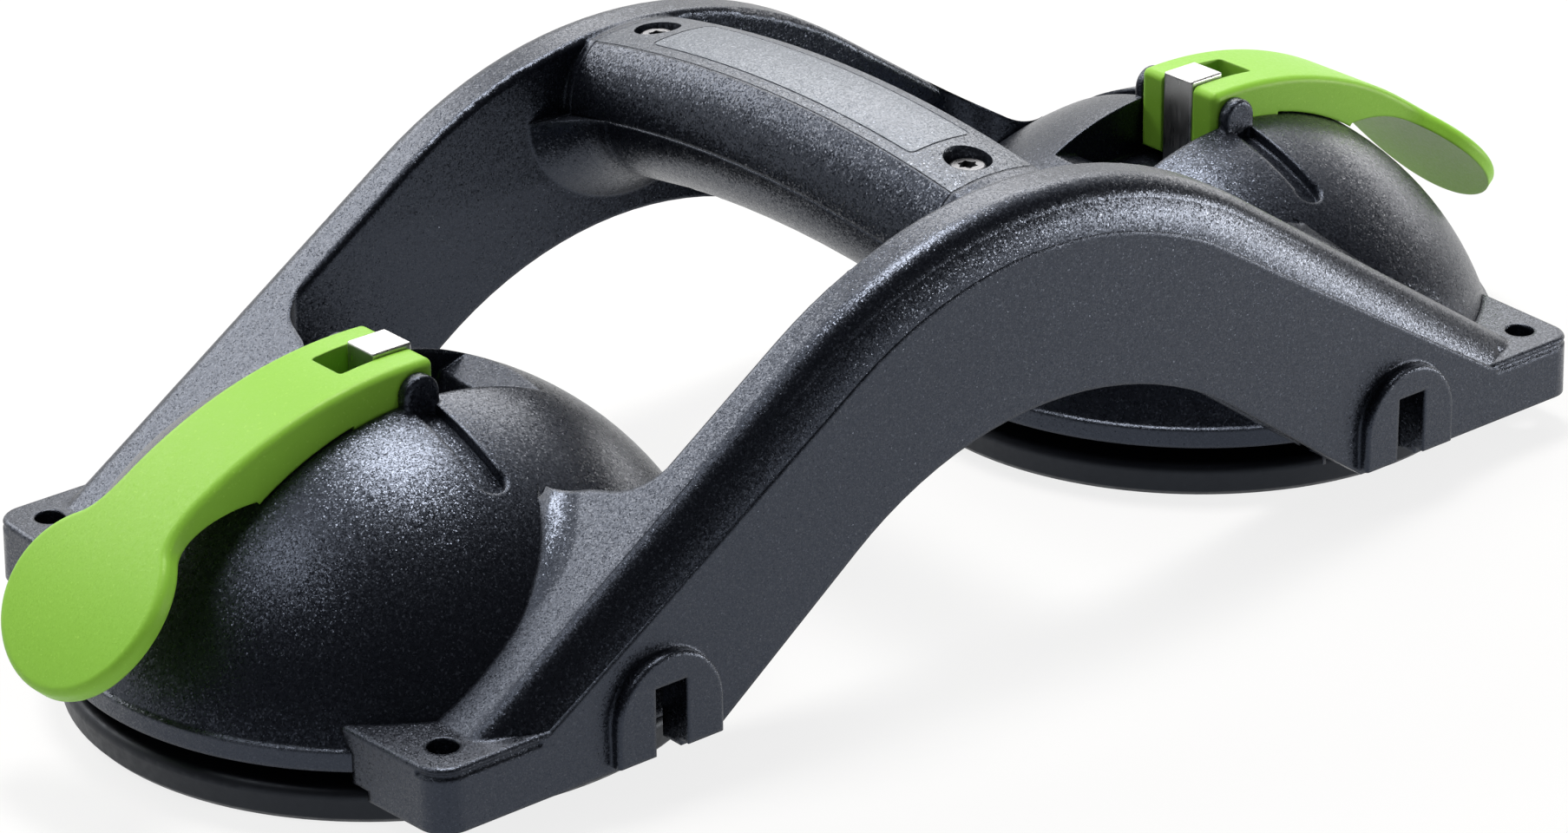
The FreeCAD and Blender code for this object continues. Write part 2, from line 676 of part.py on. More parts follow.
def cover_screw(y):
    seat = SCREW_SEAT_Z
    head = cyl_z(0, 0, seat, seat + 1.9, SCREW_HEAD_R)
    top = [e for e in head.Edges if e.BoundBox.ZMin > seat + 1.8]
    head = head.makeFillet(0.8, top)
    shank = cyl_z(0, 0, seat - SCREW_REACH, seat + 0.5, 1.6)
    tip = Part.makeCone(0.4, 1.6, 1.6, V(0, 0, seat - SCREW_REACH - 1.6), AZ)
    screw = fused([head, shank, tip])
    screw = screw.cut(six_lobe(seat + 0.7, seat + 3.0, 2.0, 1.4))
    screw.translate(V(0, y, 0))
    return screw


# =================================================================================
# Frame
# =================================================================================
def frame_moulding():
    rear = rear_arch()
    solids = [rear, mirrored(rear, AY)]
    for piece in corner_positive():
        solids.extend(four_corners(piece))
    solids.append(handle_lower())
    landing = grip_landing()
    solids.append(landing)
    solids.append(mirrored(landing, AY))
    frame = fused(solids)
    for hole in corner_negative():
        frame = frame.cut(Part.makeCompound(four_corners(hole)))
    right = at_cup(cup_space(), "right")
    frame = frame.cut(right).cut(turned(right))
    hollow = bowed(lower_grip_face(GRIP_HW - SHELL_T, GRIP_DEPTH - SHELL_T, 0.01),
                   COVER_SCREW_Y - 6.0)
    frame = frame.cut(hollow)
    for y in (-COVER_SCREW_Y, COVER_SCREW_Y):
        frame = frame.cut(cyl_z(0, y, SCREW_SEAT_Z - SCREW_REACH - 3.3, GRIP_TOP - 12.0, 1.75))
    over = GRIP_TOP - PART_H + 0.04
    above = bowed(face_of([V(-40, 0, over), V(40, 0, over), V(40, 0, GRIP_TOP + 15.0),
                           V(-40, 0, GRIP_TOP + 15.0)]), 60.0)
    frame = frame.cut(above.common(box(-40, 40, -GRIP_END, GRIP_END, 40, 150)))
    base = box(-200, 200, -100, 100, -20, BASE_Z)
    frame = frame.cut(base)
    return frame.removeSplitter()


# =================================================================================
# Housing, drawn about the cup axis with the paddle towards +X
# =================================================================================
def dome_profile_solid():
    """Dome and band as a solid of revolution."""
    r0 = math.sqrt(DOME_R ** 2 - (BAND_TOP - DOME_CZ) ** 2)
    top = V(0, 0, DOME_CZ + DOME_R)
    a = math.asin(r0 / DOME_R) * 0.5
    mid = V(DOME_R * math.sin(a), 0, DOME_CZ + DOME_R * math.cos(a))
    p = [V(0, 0, BAND_Z), V(BAND_R, 0, BAND_Z), V(BAND_R, 0, BAND_TOP - 0.3),
         V(r0, 0, BAND_TOP)]
    edges = [line(p[0], p[1]), line(p[1], p[2]), line(p[2], p[3]), arc3(p[3], mid, top),
             line(top, p[0])]
    return face_from_edges(edges).revolve(V(0, 0, 0), AZ, 360)


def inner_profile_solid():
    ri = DOME_R - DOME_T
    zi = BAND_TOP - 1.0
    r0 = math.sqrt(ri ** 2 - (zi - DOME_CZ) ** 2)
    top = V(0, 0, DOME_CZ + ri)
    a = math.asin(r0 / ri) * 0.5
    mid = V(ri * math.sin(a), 0, DOME_CZ + ri * math.cos(a))
    p = [V(0, 0, BAND_Z - 1), V(r0, 0, BAND_Z - 1), V(r0, 0, zi)]
    edges = [line(p[0], p[1]), line(p[1], p[2]), arc3(p[2], mid, top), line(top, p[0])]
    return face_from_edges(edges).revolve(V(0, 0, 0), AZ, 360)


def pocket_space():
    """Pocket for the fork, with a shallow ramp towards the middle of the lifter."""
    z_end = RAMP_Z + RAMP_DROP * (RAMP_END - POCKET_IN)
    p = [V(POCKET_OUT, 0, PLAT_Z), V(-POCKET_IN + 2.0, 0, PLAT_Z), V(-POCKET_IN, 0, RAMP_Z),
         V(-RAMP_END, 0, z_end), V(-RAMP_END, 0, 75), V(POCKET_OUT, 0, 75)]
    space = face_of([V(q.x, -POCKET_HW, q.z) for q in p]).extrude(V(0, 2 * POCKET_HW, 0))
    return space


def groove_space(s):
    """Groove running down the dome from the lug, one depth all along, with a bowl at its end."""
    y0 = s * (POCKET_HW + LUG_T)
    y1 = s * (GROOVE_END - GROOVE_HW)
    r = GROOVE_HW
    x = LUG_X
    p = [V(x - r, y0, 30), V(x + r, y0, 30), V(x + r, y1, 30), V(x, y1 + s * r, 30),
         V(x - r, y1, 30)]
    edges = [line(p[0], p[1]), line(p[1], p[2]), arc3(p[2], p[3], p[4]), line(p[4], p[0])]
    column = face_from_edges(edges).extrude(V(0, 0, 50))
    column = column.cut(Part.makeSphere(DOME_R - GROOVE_DEPTH, V(0, 0, DOME_CZ)))
    up = math.sqrt((DOME_R + BOWL_LIFT) ** 2 - BOWL_Y ** 2)
    bowl = Part.makeSphere(BOWL_R, V(x, s * BOWL_Y, DOME_CZ + up))
    return column.fuse(bowl)


def lug(s):
    """Round-topped ear beside the pocket."""
    y0 = s * (ARM_HW + 0.4)
    y1 = y0 + s * LUG_T
    z_low = PLAT_Z
    x, r = LUG_X, LUG_R
    p = [V(x - r, y0, z_low), V(x - r, y0, LUG_Z), V(x, y0, LUG_Z + r),
         V(x + r, y0, LUG_Z), V(x + r, y0, z_low)]
    edges = [line(p[0], p[1]), arc3(p[1], p[2], p[3]), line(p[3], p[4]), line(p[4], p[0])]
    body = face_from_edges(edges).extrude(V(0, y1 - y0, 0))
    rim = []
    for e in body.Edges:
        b = e.BoundBox
        if abs(b.YMin - y1) < 1e-3 and abs(b.YMax - y1) < 1e-3 and b.ZMax > LUG_Z - 1:
            rim.append(e)
    return body.makeFillet(0.8, rim)


def housing():
    solid = dome_profile_solid()
    shell = solid.cut(inner_profile_solid())
    ri = DOME_R - DOME_T
    inner = inner_profile_solid()
    tube = cyl_z(0, 0, TUBE_Z, PLAT_Z + 2.0, TUBE_R)
    block = box(-POCKET_IN - 3.0, POCKET_OUT + 3.0, -POCKET_HW - 3.0, POCKET_HW + 3.0,
                PLAT_Z - 3.5, 60).common(solid)
    parts = [shell, tube, block]
    ring = cyl_z(0, 0, PAD_TOP + 0.05, BAND_Z + 34.0, SEAT_R1).cut(
        cyl_z(0, 0, 0, 60, SEAT_R0))
    parts.append(ring.common(inner.fuse(cyl_z(0, 0, PAD_TOP + 0.05, BAND_Z, SEAT_R1 + 1))))
    for i in range(HOUSING_RIBS):
        rib = box(TUBE_R - 1.0, ri + 1.0, -0.9, 0.9, BAND_Z + 2.0, 60)
        rib.rotate(V(0, 0, 0), AZ, 22.5 + i * 360.0 / HOUSING_RIBS)
        parts.append(rib.common(inner))
    for y in (-JOIN_Y, JOIN_Y):
        boss = cyl_z(JOIN_X, y, JOIN_SEAT_Z, JOIN_TOP_Z, JOIN_BOSS_R)
        parts.append(boss.common(solid))
    body = fused(parts)
    plate_room = cyl_z(0, 0, 0, TUBE_Z, PLATE_R + 2.0)
    body = body.cut(plate_room)
    body = body.cut(pocket_space())
    body = body.fuse(lug(1)).fuse(lug(-1))
    body = body.cut(groove_space(1)).cut(groove_space(-1))
    square = box(-STUD_HX - RUN_GAP, STUD_HX + RUN_GAP, -STUD_HY - RUN_GAP,
                 STUD_HY + RUN_GAP, BUSH_TOP - 0.2, PLAT_Z + 1)
    body = body.cut(square)
    body = body.cut(cyl_z(0, 0, TUBE_Z - 1, BUSH_TOP, BUSH_R + 0.02))
    for y in (-JOIN_Y, JOIN_Y):
        body = body.cut(cyl_z(JOIN_X, y, 10, JOIN_TOP_Z + 1, JOIN_SCREW_R + 0.25))
        body = body.cut(cyl_z(JOIN_X, y, 5, JOIN_SEAT_Z, JOIN_HEAD_R + 1.2))
    return body.removeSplitter()


def guide_bush():
    """Flanged plain bush pressed up into the tube; the spring bears on its flange."""
    tube = cyl_z(0, 0, TUBE_Z - 0.5, BUSH_TOP, BUSH_R)
    flange = cyl_z(0, 0, TUBE_Z - 1.6, TUBE_Z, TUBE_R - 0.6)
    bush = tube.fuse(flange)
    return bush.cut(cyl_z(0, 0, 0, 60, STUD_R + PIN_GAP)).removeSplitter()


def join_screw():
    """Pan head screw that ties a dome boss to the web above it."""
    head = cyl_z(0, 0, JOIN_SEAT_Z - 2.2, JOIN_SEAT_Z, JOIN_HEAD_R)
    low = [e for e in head.Edges if e.BoundBox.ZMax < JOIN_SEAT_Z - 2.1]
    head = head.makeFillet(0.7, low)
    shank = cyl_z(0, 0, JOIN_SEAT_Z - 0.5, JOIN_TOP_Z - 0.6, JOIN_SCREW_R - 0.35)
    screw = head.fuse(shank)
    return screw.cut(six_lobe(JOIN_SEAT_Z - 3.0, JOIN_SEAT_Z - 0.9, 1.7, 1.2))


# =================================================================================
# Stud, plate, nut, pin and spring
# =================================================================================
def stud():
    square = box(-STUD_HX, STUD_HX, -STUD_HY, STUD_HY, STUD_SQ_Z, STUD_TOP)
    edges = [e for e in square.Edges if e.BoundBox.ZMin > STUD_TOP - 0.01
             or e.BoundBox.ZLength > 10]
    square = square.makeFillet(0.5, edges)
    shank = cyl_z(0, 0, PLATE_Z, STUD_SQ_Z + 1, STUD_R)
    body = square.fuse(shank)
    bore = Part.makeCylinder(PIN_R, 30, V(0, -15, PIN_Z), AY)
    return body.cut(bore).removeSplitter()


def pivot_pin():
    pin = Part.makeCylinder(PIN_R, 2 * PIN_HALF, V(0, -PIN_HALF, PIN_Z), AY)
    ends = [e for e in pin.Edges if e.BoundBox.YLength < 0.01]
    return pin.makeChamfer(0.3, ends)


def hub_plate():
    """Stiffening disc on the middle of the pad, dished at its rim."""
    z0 = PLATE_Z
    z1 = PLATE_Z + PLATE_T
    p = [V(STUD_R, 0, z0), V(PLATE_R - 3.0, 0, z0), V(PLATE_R, 0, z0 - 0.9),
         V(PLATE_R, 0, z0 + 0.7), V(PLATE_R - 3.2, 0, z1), V(STUD_R, 0, z1)]
    plate = face_of(p).revolve(V(0, 0, 0), AZ, 360)
    for i in range(6):
        a = math.radians(60.0 * i)
        plate = plate.cut(cyl_z(16.5 * math.cos(a), 16.5 * math.sin(a), 0, 20, 1.6))
    return plate


def hub_nut():
    """Hexagon flange nut that holds the plate to the stud."""
    z0 = PLATE_Z + PLATE_T
    pts = []
    for i in range(6):
        a = math.radians(60.0 * i)
        pts.append(V(NUT_R * math.cos(a), NUT_R * math.sin(a), z0 + 0.9))
    hexa = face_of(pts).extrude(V(0, 0, NUT_T))
    cone = Part.makeCone(NUT_R + 2.2, NUT_R - 1.6, NUT_T + 1.2, V(0, 0, z0 + 0.9), AZ)
    flange = cyl_z(0, 0, z0, z0 + 0.9, NUT_R + 0.6)
    nut = hexa.common(cone).fuse(flange)
    return nut.cut(cyl_z(0, 0, 0, 40, STUD_R)).removeSplitter()


def spring():
    """Helical spring between the bush flange and the plate."""
    z0 = PLATE_Z + PLATE_T + SPRING_WIRE
    z1 = TUBE_Z - 1.6 - SPRING_WIRE
    height = z1 - z0
    helix = Part.makeHelix(height / SPRING_TURNS, height, SPRING_R)
    circle = Part.Wire(Part.makeCircle(SPRING_WIRE, V(SPRING_R, 0, 0), AY))
    coil = Part.Wire(helix.Edges).makePipeShell([circle], True, True)
    coil.translate(V(0, 0, z0))
    return coil


# =================================================================================
# Pad
# =================================================================================
def pad_rim():
    """Stiff outer ring of the rubber pad, with sealing lips underneath."""
    r1, r2 = PAD_R, PAD_EDGE_R
    p = [V(PAD_IN_R, 0, 1.0), V(PAD_IN_R, 0, PAD_TOP - 2.4), V(PAD_IN_R + 1.6, 0, PAD_TOP),
         V(r2 - 2.2, 0, PAD_TOP), V(r2 - 0.5, 0, PAD_TOP - 0.6), V(r2, 0, PAD_TOP - 2.0),
         V(r1, 0, 1.0), V(r1 - 0.9, 0, 0), V(r1 - 3.0, 0, 0), V(r1 - 3.8, 0, 1.0),
         V(r1 - 7.0, 0, 1.0), V(r1 - 7.6, 0, 0), V(r1 - 9.4, 0, 0), V(r1 - 10.0, 0, 1.0)]
    edges = [line(p[0], p[1]), line(p[1], p[2]), line(p[2], p[3]),
             arc3(p[3], p[4], p[5])]
    for i in range(5, len(p) - 1):
        edges.append(line(p[i], p[i + 1]))
    edges.append(line(p[-1], p[0]))
    return face_from_edges(edges).revolve(V(0, 0, 0), AZ, 360)


def membrane():
    """Thin raised middle of the pad, from the rim up to the underside of the plate."""
    t = MEMBRANE_T
    r1 = PAD_IN_R - 0.02
    zi = PLATE_Z - SKIN_GAP
    lip = zi - 1.1
    p = [V(0, 0, lip - t), V(PLATE_R - 1.0, 0, lip - t), V(PLATE_R + 5.0, 0, lip - t - 1.6),
         V(PLATE_R + 11.0, 0, 2.2), V(r1, 0, 1.2), V(r1, 0, 1.2 + t),
         V(PLATE_R + 11.6, 0, 2.3 + t), V(PLATE_R + 5.4, 0, lip - 1.5), V(PLATE_R + 0.3, 0, lip),
         V(PLATE_R - 3.2, 0, zi), V(0, 0, zi)]
    return face_of(p).revolve(V(0, 0, 0), AZ, 360)


# =================================================================================
# Lever
# =================================================================================
def cam_points(n):
    """Cam outline from under the pin to the fork end.  The distance from pin to platform
    falls evenly with the turn of the lever, p = CAM_REST - CAM_RATE * turn, so the outline
    is the involute that has p as its distance to the tangent."""
    def at(turn):
        p = CAM_REST - CAM_RATE * turn
        x = -p * math.sin(turn) + CAM_RATE * math.cos(turn)
        z = PIN_Z - p * math.cos(turn) - CAM_RATE * math.sin(turn)
        return V(x, 0, z)
    low, high = 0.0, 1.2
    for step in range(40):
        mid = 0.5 * (low + high)
        if at(mid).x > -STUD_HX:
            low = mid
        else:
            high = mid
    return [at(low * i / n) for i in range(n + 1)]


def on_circle(cx, cz, r, x):
    return V(x, 0, cz + math.sqrt(r * r - (x - cx) ** 2))


def paddle_centre():
    """Middle of the paddle on the bow of the lever, x and z."""
    a = math.radians(PADDLE_TILT)
    cx, cz = LEVER_TOP_C
    return cx + LEVER_TOP_R * math.sin(a), cz + LEVER_TOP_R * math.cos(a)


def lever_profile():
    """Side outline of the lever as a face at Y = 0."""
    cx, cz = LEVER_TOP_C
    r = LEVER_TOP_R
    low_r = r - LEVER_SKIN
    cam = cam_points(8)
    curve = Part.BSplineCurve()
    curve.interpolate(cam)
    inner_top = on_circle(cx, cz, r, -STUD_HX)
    mid_x = paddle_centre()[0]
    tip_x = mid_x + PADDLE_A
    top_end = on_circle(cx, cz, r, tip_x)
    top_mid = on_circle(cx, cz, r, 0.5 * (tip_x - STUD_HX))
    low_end = on_circle(cx, cz, low_r, tip_x)
    low_start = on_circle(cx, cz, low_r, mid_x - 9.4)
    low_mid = on_circle(cx, cz, low_r, mid_x + 2.0)
    heel = V(5.4, 0, PIN_Z - CAM_REST)
    deep_r = LEVER_CLEAR_R - 3.0
    arm_far = LEVER_STEP_X - 2.0
    back = on_circle(0, DOME_CZ, deep_r, LEVER_BACK)
    arm_mid = on_circle(0, DOME_CZ, deep_r, 0.5 * (LEVER_BACK + arm_far))
    arm_end = on_circle(0, DOME_CZ, deep_r, arm_far)
    step = V(LEVER_STEP_X, 0, LEVER_STEP_Z)
    slope = V(low_start.z - cz, 0, cx - low_start.x)
    blend = Part.BSplineCurve()
    blend.interpolate(Points=[step, low_start], InitialTangent=V(1, 0, 0.04),
                      FinalTangent=slope.normalize())
    edges = [curve.toShape(), line(cam[-1], inner_top), arc3(inner_top, top_mid, top_end),
             line(top_end, low_end), arc3(low_end, low_mid, low_start), blend.toShape(),
             line(arm_end, step), arc3(arm_end, arm_mid, back), line(back, heel),
             line(heel, cam[0])]
    return Part.Face(Part.Wire(Part.__sortEdges__(edges)))


def paddle_place(u, y):
    """Point in the sloping plane of the paddle: u down the slope, y across."""
    a = math.radians(PADDLE_TILT)
    x, z = paddle_centre()
    return V(x + u * math.cos(a), y, z - u * math.sin(a))


def paddle_prism():
    """Outline of arm, neck and paddle, drawn in the slope and carried square through it."""
    a = math.radians(PADDLE_TILT)
    normal = V(math.sin(a), 0, math.cos(a))
    hw = ARM_HW
    turn = math.acos(-0.72)
    n = 20
    rim_pts = []
    for i in range(n + 1):
        t = turn - 2.0 * turn * i / n
        rim_pts.append(paddle_place(PADDLE_A * math.cos(t), PADDLE_B * math.sin(t)))
    rim = Part.BSplineCurve()
    rim.interpolate(rim_pts)
    du = -PADDLE_A * math.sin(turn)
    dy = PADDLE_B * math.cos(turn)
    size = math.hypot(du, dy)
    tu, ty = -du / size, -dy / size
    origin = paddle_place(0, 0)
    neck = paddle_place(PADDLE_NECK, hw)
    neck_l = paddle_place(PADDLE_NECK, -hw)
    run = 8.0
    along = paddle_place(1, 0) - origin
    t_rim = along * tu + V(0, ty, 0)
    t_rim_l = along * -tu + V(0, ty, 0)
    up = Part.BSplineCurve()
    up.interpolate(Points=[neck, rim_pts[0]], InitialTangent=along * run,
                   FinalTangent=t_rim * run)
    down = Part.BSplineCurve()
    down.interpolate(Points=[rim_pts[-1], neck_l], InitialTangent=t_rim_l * run,
                     FinalTangent=along * -run)
    back = paddle_place(-90.0, hw)
    back_l = paddle_place(-90.0, -hw)
    edges = [line(back, neck), up.toShape(), rim.toShape(), down.toShape(),
             line(neck_l, back_l), line(back_l, back)]
    face = Part.Face(Part.Wire(Part.__sortEdges__(edges)))
    face.translate(normal * -60.0)
    return face.extrude(normal * 120.0)


def lever():
    """Forked cam lever with its paddle."""
    body = lever_profile().extrude(V(0, 60, 0))
    body.translate(V(0, -30, 0))
    body = body.common(paddle_prism())
    rind = Part.makeSphere(LEVER_CLEAR_R, V(0, 0, DOME_CZ))
    rind = rind.common(box(LEVER_BACK, 80, -40, 40, 0, 80))
    body = body.cut(rind)
    body = soften(body)
    slot = box(-STUD_HX - 2.0, FORK_END, -FORK_HW, FORK_HW, 30, 80)
    corner = [e for e in slot.Edges if e.BoundBox.ZLength > 10
              and e.BoundBox.XMin > FORK_END - 0.01]
    slot = slot.makeFillet(0.8, corner)
    body = body.cut(slot)
    bore = Part.makeCylinder(PIN_R + PIN_GAP, 2 * PIN_HALF + 0.2,
                             V(0, -PIN_HALF - 0.1, PIN_Z), AY)
    body = body.cut(bore)
    return body.removeSplitter()


def soften(body):
    """Round the upper edges of the lever, the fork end and the rim of the paddle."""
    cx, cz = LEVER_TOP_C
    rim = []
    for e in body.Edges:
        p = e.valueAt(0.5 * (e.FirstParameter + e.LastParameter))
        on_top = abs(math.hypot(p.x - cx, p.z - cz) - LEVER_TOP_R) < 0.05
        fork_side = abs(p.x + STUD_HX) < 0.05 and abs(abs(p.y) - ARM_HW) < 0.05
        if on_top or fork_side:
            rim.append(e)
    for radius in (LEVER_EDGE_R, 1.2, 0.9, 0.6):
        try:
            out = body.makeFillet(radius, rim)
            if out.isValid() and len(out.Solids) == 1:
                return out
        except Exception as problem:
            print("lever edge radius", radius, "does not fit:", problem)
    return body


# =================================================================================
# Everything
# =================================================================================
def main():
    os.makedirs("parts", exist_ok=True)
    save("frame_moulding", frame_moulding())
    save("grip_shell", grip_shell())
    save("handle_cover", handle_cover())
    save("label_panel", label_panel())
    save("cover_screws", Part.makeCompound([cover_screw(-COVER_SCREW_Y),
                                            cover_screw(COVER_SCREW_Y)]))
    one = join_screw()
    group = []
    for side in ("left", "right"):
        for y in (-JOIN_Y, JOIN_Y):
            s = one.copy()
            s.translate(V(JOIN_X, y, 0))
            group.append(at_cup(s, side))
    save("join_screws", Part.makeCompound(group))
    makers = [("housing", housing), ("guide_bush", guide_bush), ("pad_rim", pad_rim),
              ("membrane", membrane), ("stud", stud), ("hub_plate", hub_plate),
              ("hub_nut", hub_nut), ("pivot_pin", pivot_pin), ("spring", spring),
              ("lever", lever)]
    for name, make in makers:
        shape = make()
        for side in ("left", "right"):
            save(side + "_" + name, at_cup(shape, side))


main()
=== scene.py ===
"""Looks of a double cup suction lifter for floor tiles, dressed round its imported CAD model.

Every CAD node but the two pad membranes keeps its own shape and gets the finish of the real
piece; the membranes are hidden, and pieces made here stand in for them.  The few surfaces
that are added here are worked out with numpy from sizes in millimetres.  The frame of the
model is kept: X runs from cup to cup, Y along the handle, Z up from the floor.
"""

from __future__ import annotations

import logging
import math
from dataclasses import dataclass, replace
from enum import Enum
from typing import Any

import bmesh
import bpy
import numpy as np
from mathutils import Matrix, Vector

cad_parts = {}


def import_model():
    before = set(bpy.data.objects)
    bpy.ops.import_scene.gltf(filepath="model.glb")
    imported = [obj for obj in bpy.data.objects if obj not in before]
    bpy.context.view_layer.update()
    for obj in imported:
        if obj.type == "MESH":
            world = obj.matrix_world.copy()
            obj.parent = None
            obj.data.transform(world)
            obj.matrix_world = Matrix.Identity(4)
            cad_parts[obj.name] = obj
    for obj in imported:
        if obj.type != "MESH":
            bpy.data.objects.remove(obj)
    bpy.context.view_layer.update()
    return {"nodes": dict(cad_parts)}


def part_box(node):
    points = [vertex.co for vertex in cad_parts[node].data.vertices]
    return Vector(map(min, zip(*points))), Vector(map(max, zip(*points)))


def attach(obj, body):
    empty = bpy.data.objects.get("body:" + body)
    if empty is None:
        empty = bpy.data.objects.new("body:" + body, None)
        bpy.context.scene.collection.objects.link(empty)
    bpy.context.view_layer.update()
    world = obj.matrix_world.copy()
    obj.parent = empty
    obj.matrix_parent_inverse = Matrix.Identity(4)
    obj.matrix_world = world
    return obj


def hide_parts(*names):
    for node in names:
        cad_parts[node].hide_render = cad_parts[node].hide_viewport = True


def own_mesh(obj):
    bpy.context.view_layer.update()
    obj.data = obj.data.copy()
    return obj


MM = 0.001
WHITE = (1.0, 1.0, 1.0, 1.0)
# Colour drifts over about 40 mm, as pigment and handling leave it.
DRIFT_MM = 40.0
# Noise span over which a painted glint goes from nothing to full.
PAINTED_GLINT_SPAN = 0.12
# Tool marks are this much longer along the height of a piece than across it.
TOOL_MARK_STRETCH = 12.0
LOG = logging.getLogger("lifter")


# --------------------------------------------------------------------------------------
# Colour and node helpers
# --------------------------------------------------------------------------------------
def linear(hex_colour: str) -> tuple[float, float, float, float]:
    """Turn an sRGB hex colour into linear RGBA.

    Args:
        hex_colour: Six hex digits, such as "6FBE44".

    Returns:
        Linear red, green, blue and an alpha of 1.
    """
    srgb = np.array([int(hex_colour[i:i + 2], 16) / 255.0 for i in (0, 2, 4)])
    lin = np.where(srgb <= 0.04045, srgb / 12.92, ((srgb + 0.055) / 1.055) ** 2.4)
    return float(lin[0]), float(lin[1]), float(lin[2]), 1.0


def add_node(tree: bpy.types.NodeTree, kind: str, settings: dict[str, Any] | None = None,
             inputs: dict[str, Any] | None = None) -> bpy.types.Node:
    """Add a node with its settings, socket values and links.

    Args:
        tree: The node tree that takes the node.
        kind: Blender's name for the node type.
        settings: Properties of the node by name.
        inputs: Values, or output sockets to link from, by input name or number.

    Returns:
        The new node.
    """
    node = tree.nodes.new(kind)
    for name, value in (settings or {}).items():
        setattr(node, name, value)
    for name, value in (inputs or {}).items():
        if isinstance(value, bpy.types.NodeSocket):
            tree.links.new(value, node.inputs[name])
        else:
            node.inputs[name].default_value = value
    return node


class Kind(Enum):
    """The surface families that the lifter is made of."""

    PLASTIC = "moulded or turned plastic"
    RUBBER = "moulded rubber"
    STEEL = "machined steel"


